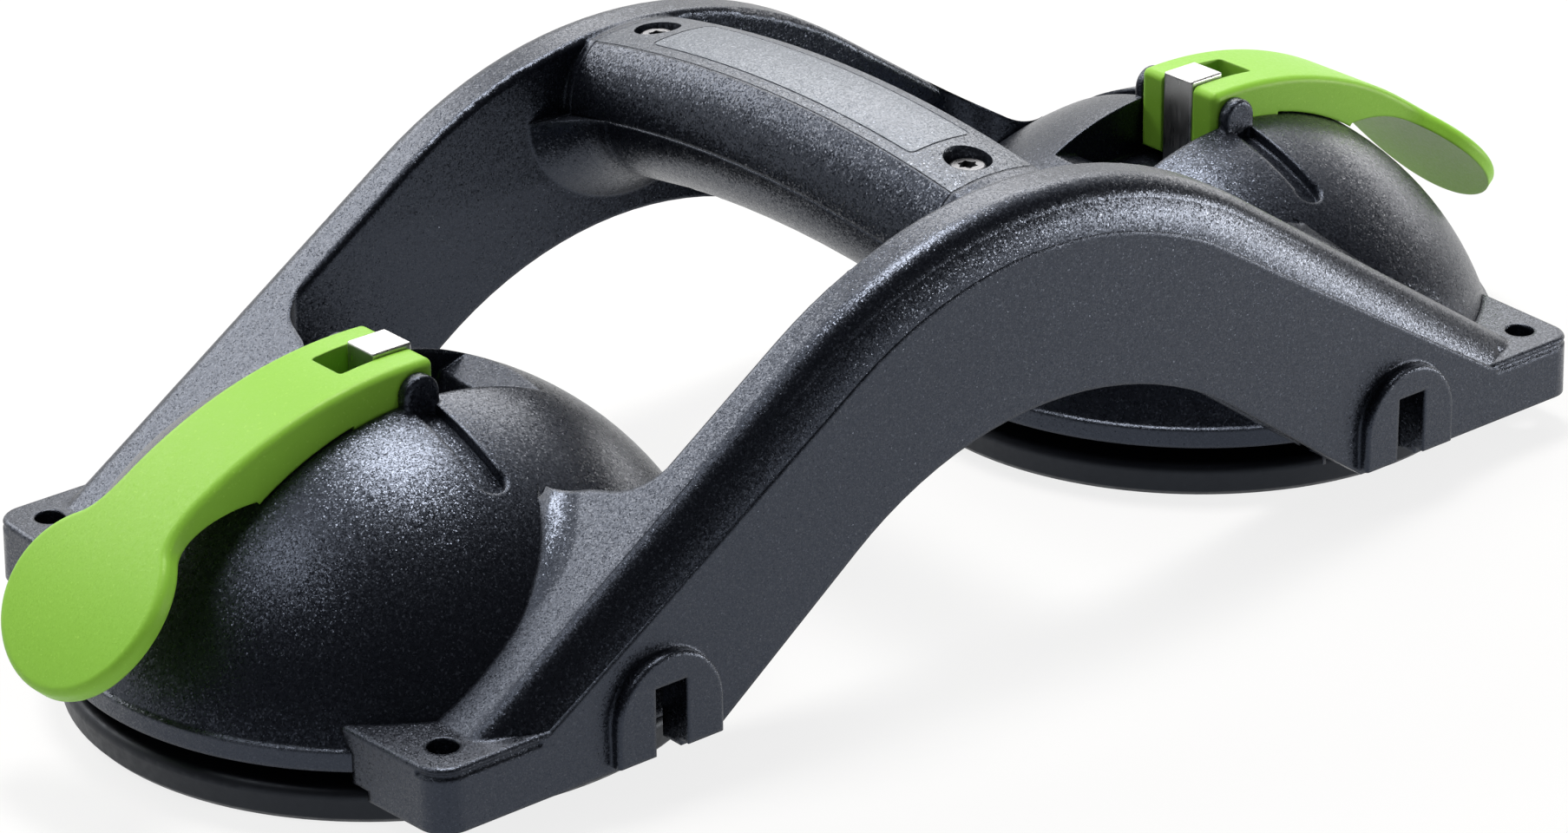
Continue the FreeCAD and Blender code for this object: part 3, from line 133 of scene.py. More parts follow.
# --------------------------------------------------------------------------------------
# Finishes
# --------------------------------------------------------------------------------------
@dataclass(frozen=True)
class Finish:
    """One material of the lifter, named for what it is and how its surface was made.

    Attributes:
        name: Name of the Blender material.
        kind: Surface family.
        colour: sRGB hex colour of the bulk.
        tint: sRGB hex colour that the bulk drifts to in broad soft patches.
        grain_mm: Spacing of the surface grain.
        depth_mm: Height of the grain.
        roughness: Lowest and highest roughness over the grain.
        edge_mm: Radius by which moulded or broken edges catch the light.
        painted_glint: sRGB hex colour of the painted glints, bright points in the colour that
            stand in for the glitter of the pitted skin.
        painted_glint_share: Noise level above which a point is a painted glint; higher is
            sparser.
        glint: Steepest lean of a pit wall, as a slope; most walls lean far less.
        pit_mm: Spacing of the pits that glint.
        ior: Index of refraction of a non-metal; below its book value where less shine is
            wanted.
        gloss: Specular level of a non-metal; 0.5 is a smooth skin without pits.
        gloss_tint: sRGB hex colour that the mirror part leans to.  A plain non-metal has
            none, so this is a choice of look.
    """

    name: str
    kind: Kind
    colour: str
    tint: str
    grain_mm: float
    depth_mm: float
    roughness: tuple[float, float]
    edge_mm: float
    # Colour of the painted glints, bright points in the colour that stand in for glitter.
    painted_glint: str = "3A3E46"
    painted_glint_share: float = 0.62
    glint: float = 0.0
    pit_mm: float = 0.32
    ior: float = 1.53
    gloss: float = 0.5
    gloss_tint: str = "FFFFFF"

    def material(self) -> bpy.types.Material:
        """Build the material, or return it when it has been built before.

        Returns:
            The Blender material.
        """
        found = bpy.data.materials.get(self.name)
        if found is not None:
            return found
        mat = bpy.data.materials.new(self.name)
        mat.use_nodes = True
        tree = mat.node_tree
        tree.nodes.clear()
        place = add_node(tree, "ShaderNodeTexCoord").outputs["Object"]
        drift = add_node(tree, "ShaderNodeTexNoise", {"noise_dimensions": "3D"},
                         {"Vector": place, "Scale": 1.0 / (DRIFT_MM * MM), "Detail": 2.0})
        mix = add_node(tree, "ShaderNodeMix", {"data_type": "RGBA"},
                       {0: drift.outputs["Fac"], 6: linear(self.colour),
                        7: linear(self.tint)})
        # Painted glints: bright points mixed into the colour at the peaks of a second noise,
        # at two thirds of the grain spacing; they stand in for the glitter of the skin.
        glint_peaks = add_node(tree, "ShaderNodeTexNoise", {"noise_dimensions": "3D"},
                         {"Vector": place, "Scale": 1.5 / (self.grain_mm * MM),
                          "Detail": 1.0})
        share = add_node(tree, "ShaderNodeMapRange", None,
                         {"Value": glint_peaks.outputs["Fac"], "From Min": self.painted_glint_share,
                          "From Max": self.painted_glint_share + PAINTED_GLINT_SPAN})
        skin = add_node(tree, "ShaderNodeMix", {"data_type": "RGBA"},
                        {0: share.outputs["Result"], 6: mix.outputs[2],
                         7: linear(self.painted_glint)})
        # Noise of this kind lies almost wholly between 0.3 and 0.7.
        height = self.grain(tree, place)
        rough = add_node(tree, "ShaderNodeMapRange", None,
                         {"Value": height, "From Min": 0.3, "From Max": 0.7,
                          "To Min": self.roughness[0], "To Max": self.roughness[1]})
        edge = add_node(tree, "ShaderNodeBevel", {"samples": 6},
                        {"Radius": self.edge_mm * MM})
        bump = add_node(tree, "ShaderNodeBump", None,
                        {"Strength": 1.0, "Distance": self.depth_mm * MM,
                         "Height": height,
                         "Normal": edge.outputs["Normal"]})
        shader = add_node(tree, "ShaderNodeBsdfPrincipled", None,
                          {"Base Color": skin.outputs[2],
                           "Roughness": rough.outputs["Result"],
                           "Normal": self.pit_walls(tree, place, bump.outputs["Normal"])})
        if self.kind is Kind.STEEL:
            shader.inputs["Metallic"].default_value = 1.0
        else:
            shader.inputs["IOR"].default_value = self.ior
            shader.inputs["Specular IOR Level"].default_value = self.gloss
            shader.inputs["Specular Tint"].default_value = linear(self.gloss_tint)
        add_node(tree, "ShaderNodeOutputMaterial", None,
                 {"Surface": shader.outputs["BSDF"]})
        return mat

    def pit_walls(self, tree: bpy.types.NodeTree, place: bpy.types.NodeSocket,
                  smooth: bpy.types.NodeSocket) -> bpy.types.NodeSocket:
        """Lean each pit of an eroded skin its own way, so that single pits glint.

        The lean is the cube of a random number per cell, which leaves most walls nearly
        level and a few steep.

        Args:
            tree: Node tree of the material.
            place: Object coordinates.
            smooth: Normal of the skin without its pits.

        Returns:
            The normal as a socket.
        """
        if self.glint == 0.0:
            return smooth
        pits = add_node(tree, "ShaderNodeTexVoronoi", {"voronoi_dimensions": "3D"},
                        {"Vector": place, "Scale": 1.0 / (self.pit_mm * MM)})
        lean = add_node(tree, "ShaderNodeVectorMath", {"operation": "MULTIPLY_ADD"},
                        {0: pits.outputs["Color"], 1: (2.0, 2.0, 2.0), 2: (-1.0, -1.0, -1.0)})
        square = add_node(tree, "ShaderNodeVectorMath", {"operation": "MULTIPLY"},
                          {0: lean.outputs[0], 1: lean.outputs[0]})
        cube = add_node(tree, "ShaderNodeVectorMath", {"operation": "MULTIPLY"},
                        {0: square.outputs[0], 1: lean.outputs[0]})
        tilt = add_node(tree, "ShaderNodeVectorMath", {"operation": "MULTIPLY_ADD"},
                        {0: cube.outputs[0], 1: (self.glint,) * 3, 2: smooth})
        unit = add_node(tree, "ShaderNodeVectorMath", {"operation": "NORMALIZE"},
                        {0: tilt.outputs[0]})
        return unit.outputs[0]

    def grain(self, tree: bpy.types.NodeTree,
              place: bpy.types.NodeSocket) -> bpy.types.NodeSocket:
        """Height of the surface grain: even on a moulding, drawn out on turned steel.

        Args:
            tree: Node tree of the material.
            place: Object coordinates.

        Returns:
            The height as a socket between 0 and 1.
        """
        # One noise cell per grain spacing, in metres.
        scale = 1.0 / (self.grain_mm * MM)
        if self.kind is not Kind.STEEL:
            skin = add_node(tree, "ShaderNodeTexNoise", {"noise_dimensions": "3D"},
                            {"Vector": place, "Scale": scale, "Detail": 2.0,
                             "Roughness": 0.6})
            return skin.outputs["Fac"]
        marks = add_node(tree, "ShaderNodeMapping", None,
                         {"Vector": place, "Scale": (1.0, 1.0, 1.0 / TOOL_MARK_STRETCH)})
        lines = add_node(tree, "ShaderNodeTexNoise", {"noise_dimensions": "3D"},
                         {"Vector": marks.outputs["Vector"], "Scale": scale,
                          "Detail": 2.0})
        return lines.outputs["Fac"]


# Glass-filled nylon from a spark-eroded mould: near black with a cold cast, and its fine
# pitted skin glitters where light grazes it; painted glints, bright points in its colour,
# add to that glitter.  The spacing of the pits is chosen so that single pits still show
# from arm's length; the real spacing isn't known.
BODY_NYLON = Finish(
    name="glass_filled_nylon_spark_eroded", kind=Kind.PLASTIC,
    colour="08090E", tint="0C0E14", grain_mm=0.70, depth_mm=0.020,
    roughness=(0.24, 0.34), edge_mm=1.0, painted_glint="262930", painted_glint_share=0.60,
    glint=0.20, pit_mm=0.22, gloss=0.66, gloss_tint="C8D6F2")
# The same nylon and mould face where the form is already soft, so that the eye finds no
# edge: there is none of its own to round.
SHOULDER_NYLON = replace(BODY_NYLON, name="glass_filled_nylon_soft_shoulder", edge_mm=0.05)
# The same nylon from a coarser mould face, as grips have it: a rougher, livelier sparkle.
# The spacing of its pits is a choice too.
GRIP_NYLON = Finish(
    name="glass_filled_nylon_coarse_grip", kind=Kind.PLASTIC,
    colour="090A0F", tint="0D0F15", grain_mm=0.80, depth_mm=0.030,
    roughness=(0.24, 0.36), edge_mm=0.6, painted_glint="262930", painted_glint_share=0.60,
    glint=0.30, pit_mm=0.28, gloss=0.68, gloss_tint="C8D6F2")
# Flat strip on the grip, with pits as coarse as the grip's.  It reads as a paler, evenly
# speckled grey: a lighter base colour, lighter painted glints and a high gloss, set by
# choice.
COVER_NYLON = Finish(
    name="glass_filled_nylon_flat_strip", kind=Kind.PLASTIC,
    colour="1A1D24", tint="1F232B", grain_mm=0.80, depth_mm=0.030,
    roughness=(0.28, 0.40), edge_mm=0.35, painted_glint="4A4F58", painted_glint_share=0.58,
    glint=0.30, pit_mm=0.28, gloss=0.95, gloss_tint="D8E2F4")
# Bare polyester film with a grained face: a shade lighter and smoother than its bed.
# The spacing of its grain is chosen to show.
LABEL_FILM = Finish(
    name="grained_polyester_film", kind=Kind.PLASTIC,
    colour="3E434B", tint="444951", grain_mm=0.80, depth_mm=0.020,
    roughness=(0.30, 0.40), edge_mm=0.2, painted_glint="6A6F78", painted_glint_share=0.58,
    glint=0.25, pit_mm=0.26, ior=1.57, gloss=0.95, gloss_tint="DCE6F6")
# Unfilled nylon, coloured through, from a finely blasted mould: an even satin in which the
# colour carries.  Its index is set to 1.36, well under nylon's 1.53, to keep the mirror
# part weak.
LEVER_NYLON = Finish(
    name="coloured_nylon_satin", kind=Kind.PLASTIC,
    colour="7CB238", tint="84B840", grain_mm=0.9, depth_mm=0.010,
    roughness=(0.38, 0.48), edge_mm=0.8, painted_glint="8CBE48", painted_glint_share=0.66,
    glint=0.05, pit_mm=0.30, ior=1.36, gloss=0.50, gloss_tint="EEF0C8")
# Nitrile rubber, press moulded and smooth, with a dull bloom that keeps it darker and
# softer than the nylon.
PAD_RUBBER = Finish(
    name="nitrile_rubber_moulded", kind=Kind.RUBBER,
    colour="0A0B10", tint="0E0F14", grain_mm=1.6, depth_mm=0.015,
    roughness=(0.40, 0.52), edge_mm=0.6, painted_glint="13151B", painted_glint_share=0.66,
    ior=1.52, gloss=0.35, gloss_tint="D6E2F4")
# Turned acetal: a waxy white sleeve inside the dome.
BUSH_ACETAL = Finish(
    name="acetal_turned", kind=Kind.PLASTIC,
    colour="E2E2DC", tint="D8D8D2", grain_mm=0.6, depth_mm=0.010,
    roughness=(0.30, 0.40), edge_mm=0.2, painted_glint="EAEAE4", painted_glint_share=0.66, ior=1.48)
# Free-cutting steel, milled: bright, with fine upright marks that stretch its reflections.
BRIGHT_STEEL = Finish(
    name="steel_milled_bright", kind=Kind.STEEL,
    colour="C6C7C6", tint="B7B8B8", grain_mm=0.35, depth_mm=0.006,
    roughness=(0.26, 0.42), edge_mm=0.4, painted_glint="D2D3D2")
# Zinc plated and dark passivated screws: a dull grey metal in the dark recesses.
ZINC_STEEL = Finish(
    name="steel_dark_zinc_plated", kind=Kind.STEEL,
    colour="77777A", tint="66676B", grain_mm=0.4, depth_mm=0.006,
    roughness=(0.26, 0.40), edge_mm=0.25, painted_glint="8A8A8D")
# Cold drawn spring wire: smooth and grey, with a thin bright line along each turn.
SPRING_WIRE = Finish(
    name="spring_steel_drawn", kind=Kind.STEEL,
    colour="8E9094", tint="7C7E83", grain_mm=0.5, depth_mm=0.004,
    roughness=(0.28, 0.38), edge_mm=0.1, painted_glint="A0A2A6")


def dress(node: bpy.types.Object, finish: Finish) -> None:
    """Put a finish on every material slot of an object.

    Args:
        node: The object.
        finish: The finish it gets.
    """
    if not node.material_slots:
        node.data.materials.append(finish.material())
    for slot in node.material_slots:
        slot.material = finish.material()


# --------------------------------------------------------------------------------------
# Surfaces
# --------------------------------------------------------------------------------------
def smooth_step(u: np.ndarray) -> np.ndarray:
    """Rise from 0 to 1 with level ends, 3u^2 - 2u^3, and hold beyond them.

    Args:
        u: Place along the step; the step runs from 0 to 1.

    Returns:
        The height of the step.
    """
    u = np.clip(u, 0.0, 1.0)
    return u * u * (3.0 - 2.0 * u)


def closed_sweep(name: str, grid: np.ndarray, finish: Finish) -> bpy.types.Object:
    """Make a closed mesh from loops of points laid along a path.

    Every station of the path holds one closed loop.  Neighbouring loops are joined by quads
    and the first and last loop are capped.

    Args:
        name: Name of the piece.
        grid: Array of stations by loop points by 3, in metres.
        finish: The finish it gets.

    Returns:
        The new object, with its place in its mesh.
    """
    stations, loop, _ = grid.shape
    index = np.arange(stations * loop).reshape(stations, loop)
    turned = np.roll(index, -1, axis=1)
    quads = np.stack([index[:-1], turned[:-1], turned[1:], index[1:]], axis=-1)
    faces = quads.reshape(-1, 4).tolist()
    faces += [index[0][::-1].tolist(), index[-1].tolist()]
    mesh = bpy.data.meshes.new(name)
    mesh.from_pydata(grid.reshape(-1, 3).tolist(), [], faces)
    body = bmesh.new()
    body.from_mesh(mesh)
    bmesh.ops.recalc_face_normals(body, faces=body.faces)
    body.to_mesh(mesh)
    body.free()
    mesh.shade_smooth()
    mesh.set_sharp_from_angle(angle=math.radians(40.0))
    obj = bpy.data.objects.new(name, mesh)
    bpy.context.scene.collection.objects.link(obj)
    dress(obj, finish)
    return obj


# --------------------------------------------------------------------------------------
# Sub-assemblies
# --------------------------------------------------------------------------------------
@dataclass(frozen=True)
class ShoulderSkin:
    """Soft outer shoulder of one arch, from the rounded top edge down into the face.

    A cubic curve in the plane square to the arch is carried along the crown and down both
    legs.  It leaves the top rounding at its start angle and runs into the drafted face.
    Between the two it covers the moulding's steep wall, hollow and ledge, and stands off
    them by up to 0.6 mm at the crown and 1.2 mm near the feet.  Sizes in millimetres.
    "Depth" is measured square to the top strip, "distance" from the middle of the lifter.

    Attributes:
        side: -1 for the front arch, 1 for the rear one.
        top_z: Height of the top strip at the crown.
        crown_r: Radius of the crown in side view.
        slope: Slope of the straight legs, degrees.
        leg_run: Length along a leg that the shoulder follows.
        leg_full: Length over which the depth would fall to foot_share.
        foot_share: Depth of the shoulder at leg_full over that at the crown.
        round_y: Distance at which the top rounding starts.
        round_r: Radius of the top rounding.
        start: Angle of the rounding at which the curve leaves it, degrees.
        hollow_y: Distance of the middle of the moulding's hollow.
        hollow_depth: Depth of that middle.
        hollow_r: Radius of the hollow.
        ledge_y: Distance at which the hollow turns into a sloping ledge.
        ledge_depth: Depth at which it does.
        ledge_slope: Slope of the ledge, degrees.
        face_y: Distance of the outer face at floor level.
        draft: Lean of the outer face per millimetre of height.
        top_pull: Length of the curve's handle at the top rounding.
        face_pull: Length of its handle at the face.
        sink: How far the edges of the skin lie under the moulding's surface.
        overlap: How far the skin runs down the face below the moulding's corner.
        fade: Length at each end over which the skin sinks into the moulding.
        fade_sink: Depth it has sunk to at its ends.
    """

    side: int
    top_z: float = 84.5
    crown_r: float = 96.0
    slope: float = 33.7
    leg_run: float = 88.0
    leg_full: float = 112.0
    foot_share: float = 0.55
    round_y: float = 59.0
    round_r: float = 5.0
    start: float = 35.0
    hollow_y: float = 67.46
    hollow_depth: float = 6.96
    hollow_r: float = 3.0
    ledge_y: float = 66.44
    ledge_depth: float = 9.78
    ledge_slope: float = 20.0
    face_y: float = 68.0
    draft: float = 0.03
    top_pull: float = 2.6
    face_pull: float = 3.6
    sink: float = 0.04
    overlap: float = 2.3
    fade: float = 6.0
    fade_sink: float = 1.8

    def stations(self) -> tuple[np.ndarray, np.ndarray]:
        """Angle and leg distance of the section planes, from the left foot to the right.

        Returns:
            Signed angle in radians and distance down the leg in millimetres.
        """
        crown_planes, leg_planes = 61, 36
        a = math.radians(self.slope)
        turn = np.linspace(-a, a, crown_planes)
        down = np.linspace(self.leg_run, 0.0, leg_planes + 1)[:-1]
        angle = np.concatenate([np.full(down.size, -a), turn, np.full(down.size, a)])
        run = np.concatenate([down, np.zeros(turn.size), down[::-1]])
        return angle, run

    def corner_depth(self, y: np.ndarray) -> np.ndarray:
        """Depth of the moulding's hollow and ledge at a distance y, at the crown.

        Args:
            y: Distance from the middle of the lifter.

        Returns:
            The depth.
        """
        reach = np.clip((self.hollow_y - y) / self.hollow_r, -1.0, 1.0)
        hollow = self.hollow_depth + self.hollow_r * np.sqrt(1.0 - reach ** 2)
        rise = math.tan(math.radians(self.ledge_slope))
        ledge = self.ledge_depth + (y - self.ledge_y) * rise
        return np.where(y < self.ledge_y, hollow, ledge)

    def face_end(self, share: np.ndarray, top: np.ndarray,
                 cos_a: np.ndarray) -> tuple[np.ndarray, np.ndarray]:
        """Where the skin ends on the face, a little below the corner.

        The corner lies where the hollow meets the face, and the drafted face depends on
        how deep the corner lies, so a few rounds settle both.

        Args:
            share: Depth of the shoulder over that at the crown, per section plane.
            top: Height of the top strip.
            cos_a: Cosine of the plane's angle.

        Returns:
            Distance and depth of the end.
        """
        rounds = 6
        depth = self.ledge_depth * share
        for _ in range(rounds):
            face = self.face_y - self.draft * (top - depth * cos_a)
            depth = self.corner_depth(face) * share
        depth = depth + self.overlap
        return self.face_y - self.draft * (top - depth * cos_a), depth

    def sections(self) -> np.ndarray:
        """Lay the closed section of the skin in every section plane.

        Returns:
            Points in millimetres, section planes by loop points by 3.
        """
        angle, run = self.stations()
        sin_a, cos_a = np.sin(angle), np.cos(angle)
        x0 = self.crown_r * sin_a + np.sign(angle) * run * cos_a
        z0 = self.top_z - self.crown_r + self.crown_r * cos_a - run * np.abs(sin_a)
        share = 1.0 - (1.0 - self.foot_share) * run / self.leg_full
        a0 = math.radians(self.start)

        # Ends of the curve and its two handles, as distance and depth.
        p0 = np.stack([np.full_like(share, self.round_y + self.round_r * math.sin(a0)),
                       self.round_r * (1.0 - math.cos(a0)) * share], axis=-1)
        p3 = np.stack(self.face_end(share, z0, cos_a), axis=-1)
        out = np.stack([np.full_like(share, math.cos(a0)), math.sin(a0) * share], axis=-1)
        fall = np.stack([self.draft * cos_a, np.ones_like(share)], axis=-1)
        p1 = p0 + self.top_pull * out
        p2 = p3 - self.face_pull * share[:, None] * fall

        # Both edges lie just under the moulding, and the whole skin sinks at its ends.
        late = smooth_step((run - self.leg_run + self.fade) / self.fade)
        sink = (self.sink + self.fade_sink * late)[:, None]
        inward = np.array([-math.sin(a0), math.cos(a0)])
        level = np.array([-1.0, 0.0])
        p0, p1 = p0 + sink * inward, p1 + sink * inward
        p2, p3 = p2 + sink * level, p3 + sink * level

        curve_points = 25
        t = np.linspace(0.0, 1.0, curve_points)[None, :, None]
        curve = ((1 - t) ** 3 * p0[:, None] + 3 * t * (1 - t) ** 2 * p1[:, None]
                 + 3 * t ** 2 * (1 - t) * p2[:, None] + t ** 3 * p3[:, None])
        # Two points inside the moulding close the loop.
        behind_face, under_top = np.array([-1.2, 0.0]), np.array([-0.6, 1.4])
        back = np.stack([p3 + behind_face, p0 + under_top], axis=1)
        loop = np.concatenate([curve, back], axis=1)
        y, depth = loop[..., 0], loop[..., 1]
        return np.stack([x0[:, None] - depth * sin_a[:, None], self.side * y,
                         z0[:, None] - depth * cos_a[:, None]], axis=-1)

    def build(self) -> bpy.types.Object:
        """Make the skin.

        Returns:
            The new piece.
        """
        name = "front_arch_shoulder" if self.side < 0 else "rear_arch_shoulder"
        obj = closed_sweep(name, self.sections() * MM, SHOULDER_NYLON)
        LOG.info("%s built", name)
        return obj


@dataclass(frozen=True)
class CarryingFrame:
    """Moulded frame with its two arches, four feet and the lower half of the handle."""

    nodes: dict[str, bpy.types.Object]

    def dress(self) -> None:
        """Give the frame and the screws under its webs their finishes."""
        dress(self.nodes["frame_moulding"], BODY_NYLON)
        dress(self.nodes["join_screws"], ZINC_STEEL)
        LOG.info("frame dressed")

    def shoulders(self) -> None:
        """Lay the soft outer shoulders on both arches."""
        for side in (-1, 1):
            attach(ShoulderSkin(side).build(), "frame")


@dataclass(frozen=True)
class Grip:
    """Upper half of the handle with its cover strip, bare label field and screws."""

    nodes: dict[str, bpy.types.Object]

    def dress(self) -> None:
        """Give each piece of the grip its finish."""
        finishes = {"grip_shell": GRIP_NYLON, "handle_cover": COVER_NYLON,
                    "label_panel": LABEL_FILM, "cover_screws": ZINC_STEEL}
        for name, finish in finishes.items():
            dress(self.nodes[name], finish)
        LOG.info("grip dressed")


@dataclass(frozen=True)
class PadMiddle:
    """Thin rubber middle of one pad, which hangs from the plate on the stud.

    Its underside rises from the rim to the plate as a smooth step of the radius, so it
    leaves both ends level, as stretched rubber does.  Its upper face is the underside plus
    the wall, which thickens under the plate.  Sizes in millimetres.

    Attributes:
        side: "left" or "right".
        rim_z: Height of the underside at the rim.
        rise: How far the middle stands above the rim.
        plate_r: Radius from which the underside falls away.
        wall: Thickness of the rubber.
        pad: Extra thickness under the plate.
        pad_r: Radius at which the extra thickness has run out.
        pad_fall: Width over which it runs out.
        tip_r: Radius of the small flat face that closes the middle.
        travel: How far the stud lets it down; not used.
    """

    side: str
    rim_z: float = 1.2
    rise: float = 6.2
    plate_r: float = 22.0
    wall: float = 2.2
    pad: float = 1.1
    pad_r: float = 24.3
    pad_fall: float = 3.5
    tip_r: float = 0.4
    travel: float = 3.6

    def profile(self, reach: float) -> tuple[np.ndarray, np.ndarray]:
        """Outline from the middle out along the underside and back over the top.

        Args:
            reach: Radius of the rim.

        Returns:
            Radius and height of each point.
        """
        points = 46
        radius = np.linspace(self.tip_r, reach, points)
        fall = (reach - radius) / (reach - self.plate_r)
        under = self.rim_z + self.rise * smooth_step(fall)
        thick = self.wall + self.pad * smooth_step((self.pad_r - radius) / self.pad_fall)
        over = under + thick
        return np.concatenate([radius, radius[::-1]]), np.concatenate([under, over[::-1]])

    def build(self) -> bpy.types.Object:
        """Make the piece, tie it to the frame and let it stand for the CAD node.

        Returns:
            The new piece.
        """
        node = f"{self.side}_membrane"
        low, high = (np.array(corner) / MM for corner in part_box(node))
        middle = (low + high) / 2.0
        r, z = self.profile((high - low)[0] / 2.0)
        steps_round = 96
        turn = np.linspace(0.0, 2.0 * math.pi, steps_round, endpoint=False)
        grid = np.stack([middle[0] + np.outer(r, np.cos(turn)),
                         middle[1] + np.outer(r, np.sin(turn)),
                         np.repeat(z[:, None], turn.size, axis=1)], axis=-1)
        obj = closed_sweep(f"{self.side}_pad_middle", grid * MM, PAD_RUBBER)
        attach(obj, "frame")
        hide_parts(node)
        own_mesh(obj)
        LOG.info("%s pad middle built", self.side)
        return obj


@dataclass(frozen=True)
class Cup:
    """One suction cup: dome, rubber pad, stud with its plate and nut, and the cam lever."""

    nodes: dict[str, bpy.types.Object]
    side: str

    def dress(self) -> None:
        """Give each piece of the cup its finish."""
        finishes = {"housing": BODY_NYLON, "guide_bush": BUSH_ACETAL,
                    "pad_rim": PAD_RUBBER, "stud": BRIGHT_STEEL,
                    "hub_plate": BRIGHT_STEEL, "hub_nut": ZINC_STEEL,
                    "pivot_pin": BRIGHT_STEEL, "spring": SPRING_WIRE,
                    "lever": LEVER_NYLON}
        for name, finish in finishes.items():
            dress(self.nodes[f"{self.side}_{name}"], finish)
        LOG.info("%s cup dressed", self.side)

    def soft_parts(self) -> None:
        """Lay the thin middle of the pad."""
        PadMiddle(self.side).build()


# --------------------------------------------------------------------------------------
# Studio
# --------------------------------------------------------------------------------------
@dataclass(frozen=True)
class SoftBox:
    """A rectangular area lamp aimed at the lifter, hidden from the camera.

    Attributes:
        name: Name of the lamp.
        azimuth: Bearing of the lamp, degrees from +X towards +Y.
        elevation: Height angle, degrees.
        distance: Metres from the middle of the lifter.
        width: Level side of the lamp in metres.
        height: Other side of the lamp in metres.
        power: Watts.
        colour: Linear colour of the light, a slightly warm white.
        aim_z: Height in metres of the point that it is aimed at.
    """

    name: str
    azimuth: float
    elevation: float
    distance: float
    width: float
    height: float
    power: float
    colour: tuple[float, float, float] = (1.0, 0.97, 0.93)
    aim_z: float = 0.04

    def build(self) -> bpy.types.Object:
        """Make the lamp and aim it.

        Returns:
            The lamp object.
        """
        lamp = bpy.data.lights.new(self.name, "AREA")
        lamp.shape = "RECTANGLE"
        lamp.size = self.width
        lamp.size_y = self.height
        lamp.energy = self.power
        lamp.color = self.colour
        obj = bpy.data.objects.new(self.name, lamp)
        a, e = math.radians(self.azimuth), math.radians(self.elevation)
        way = Vector((math.cos(a) * math.cos(e), math.sin(a) * math.cos(e), math.sin(e)))
        obj.location = way * self.distance + Vector((0.0, 0.0, self.aim_z))
        obj.rotation_euler = (-way).to_track_quat("-Z", "Y").to_euler()
        obj.visible_camera = False
        bpy.context.scene.collection.objects.link(obj)
        return obj


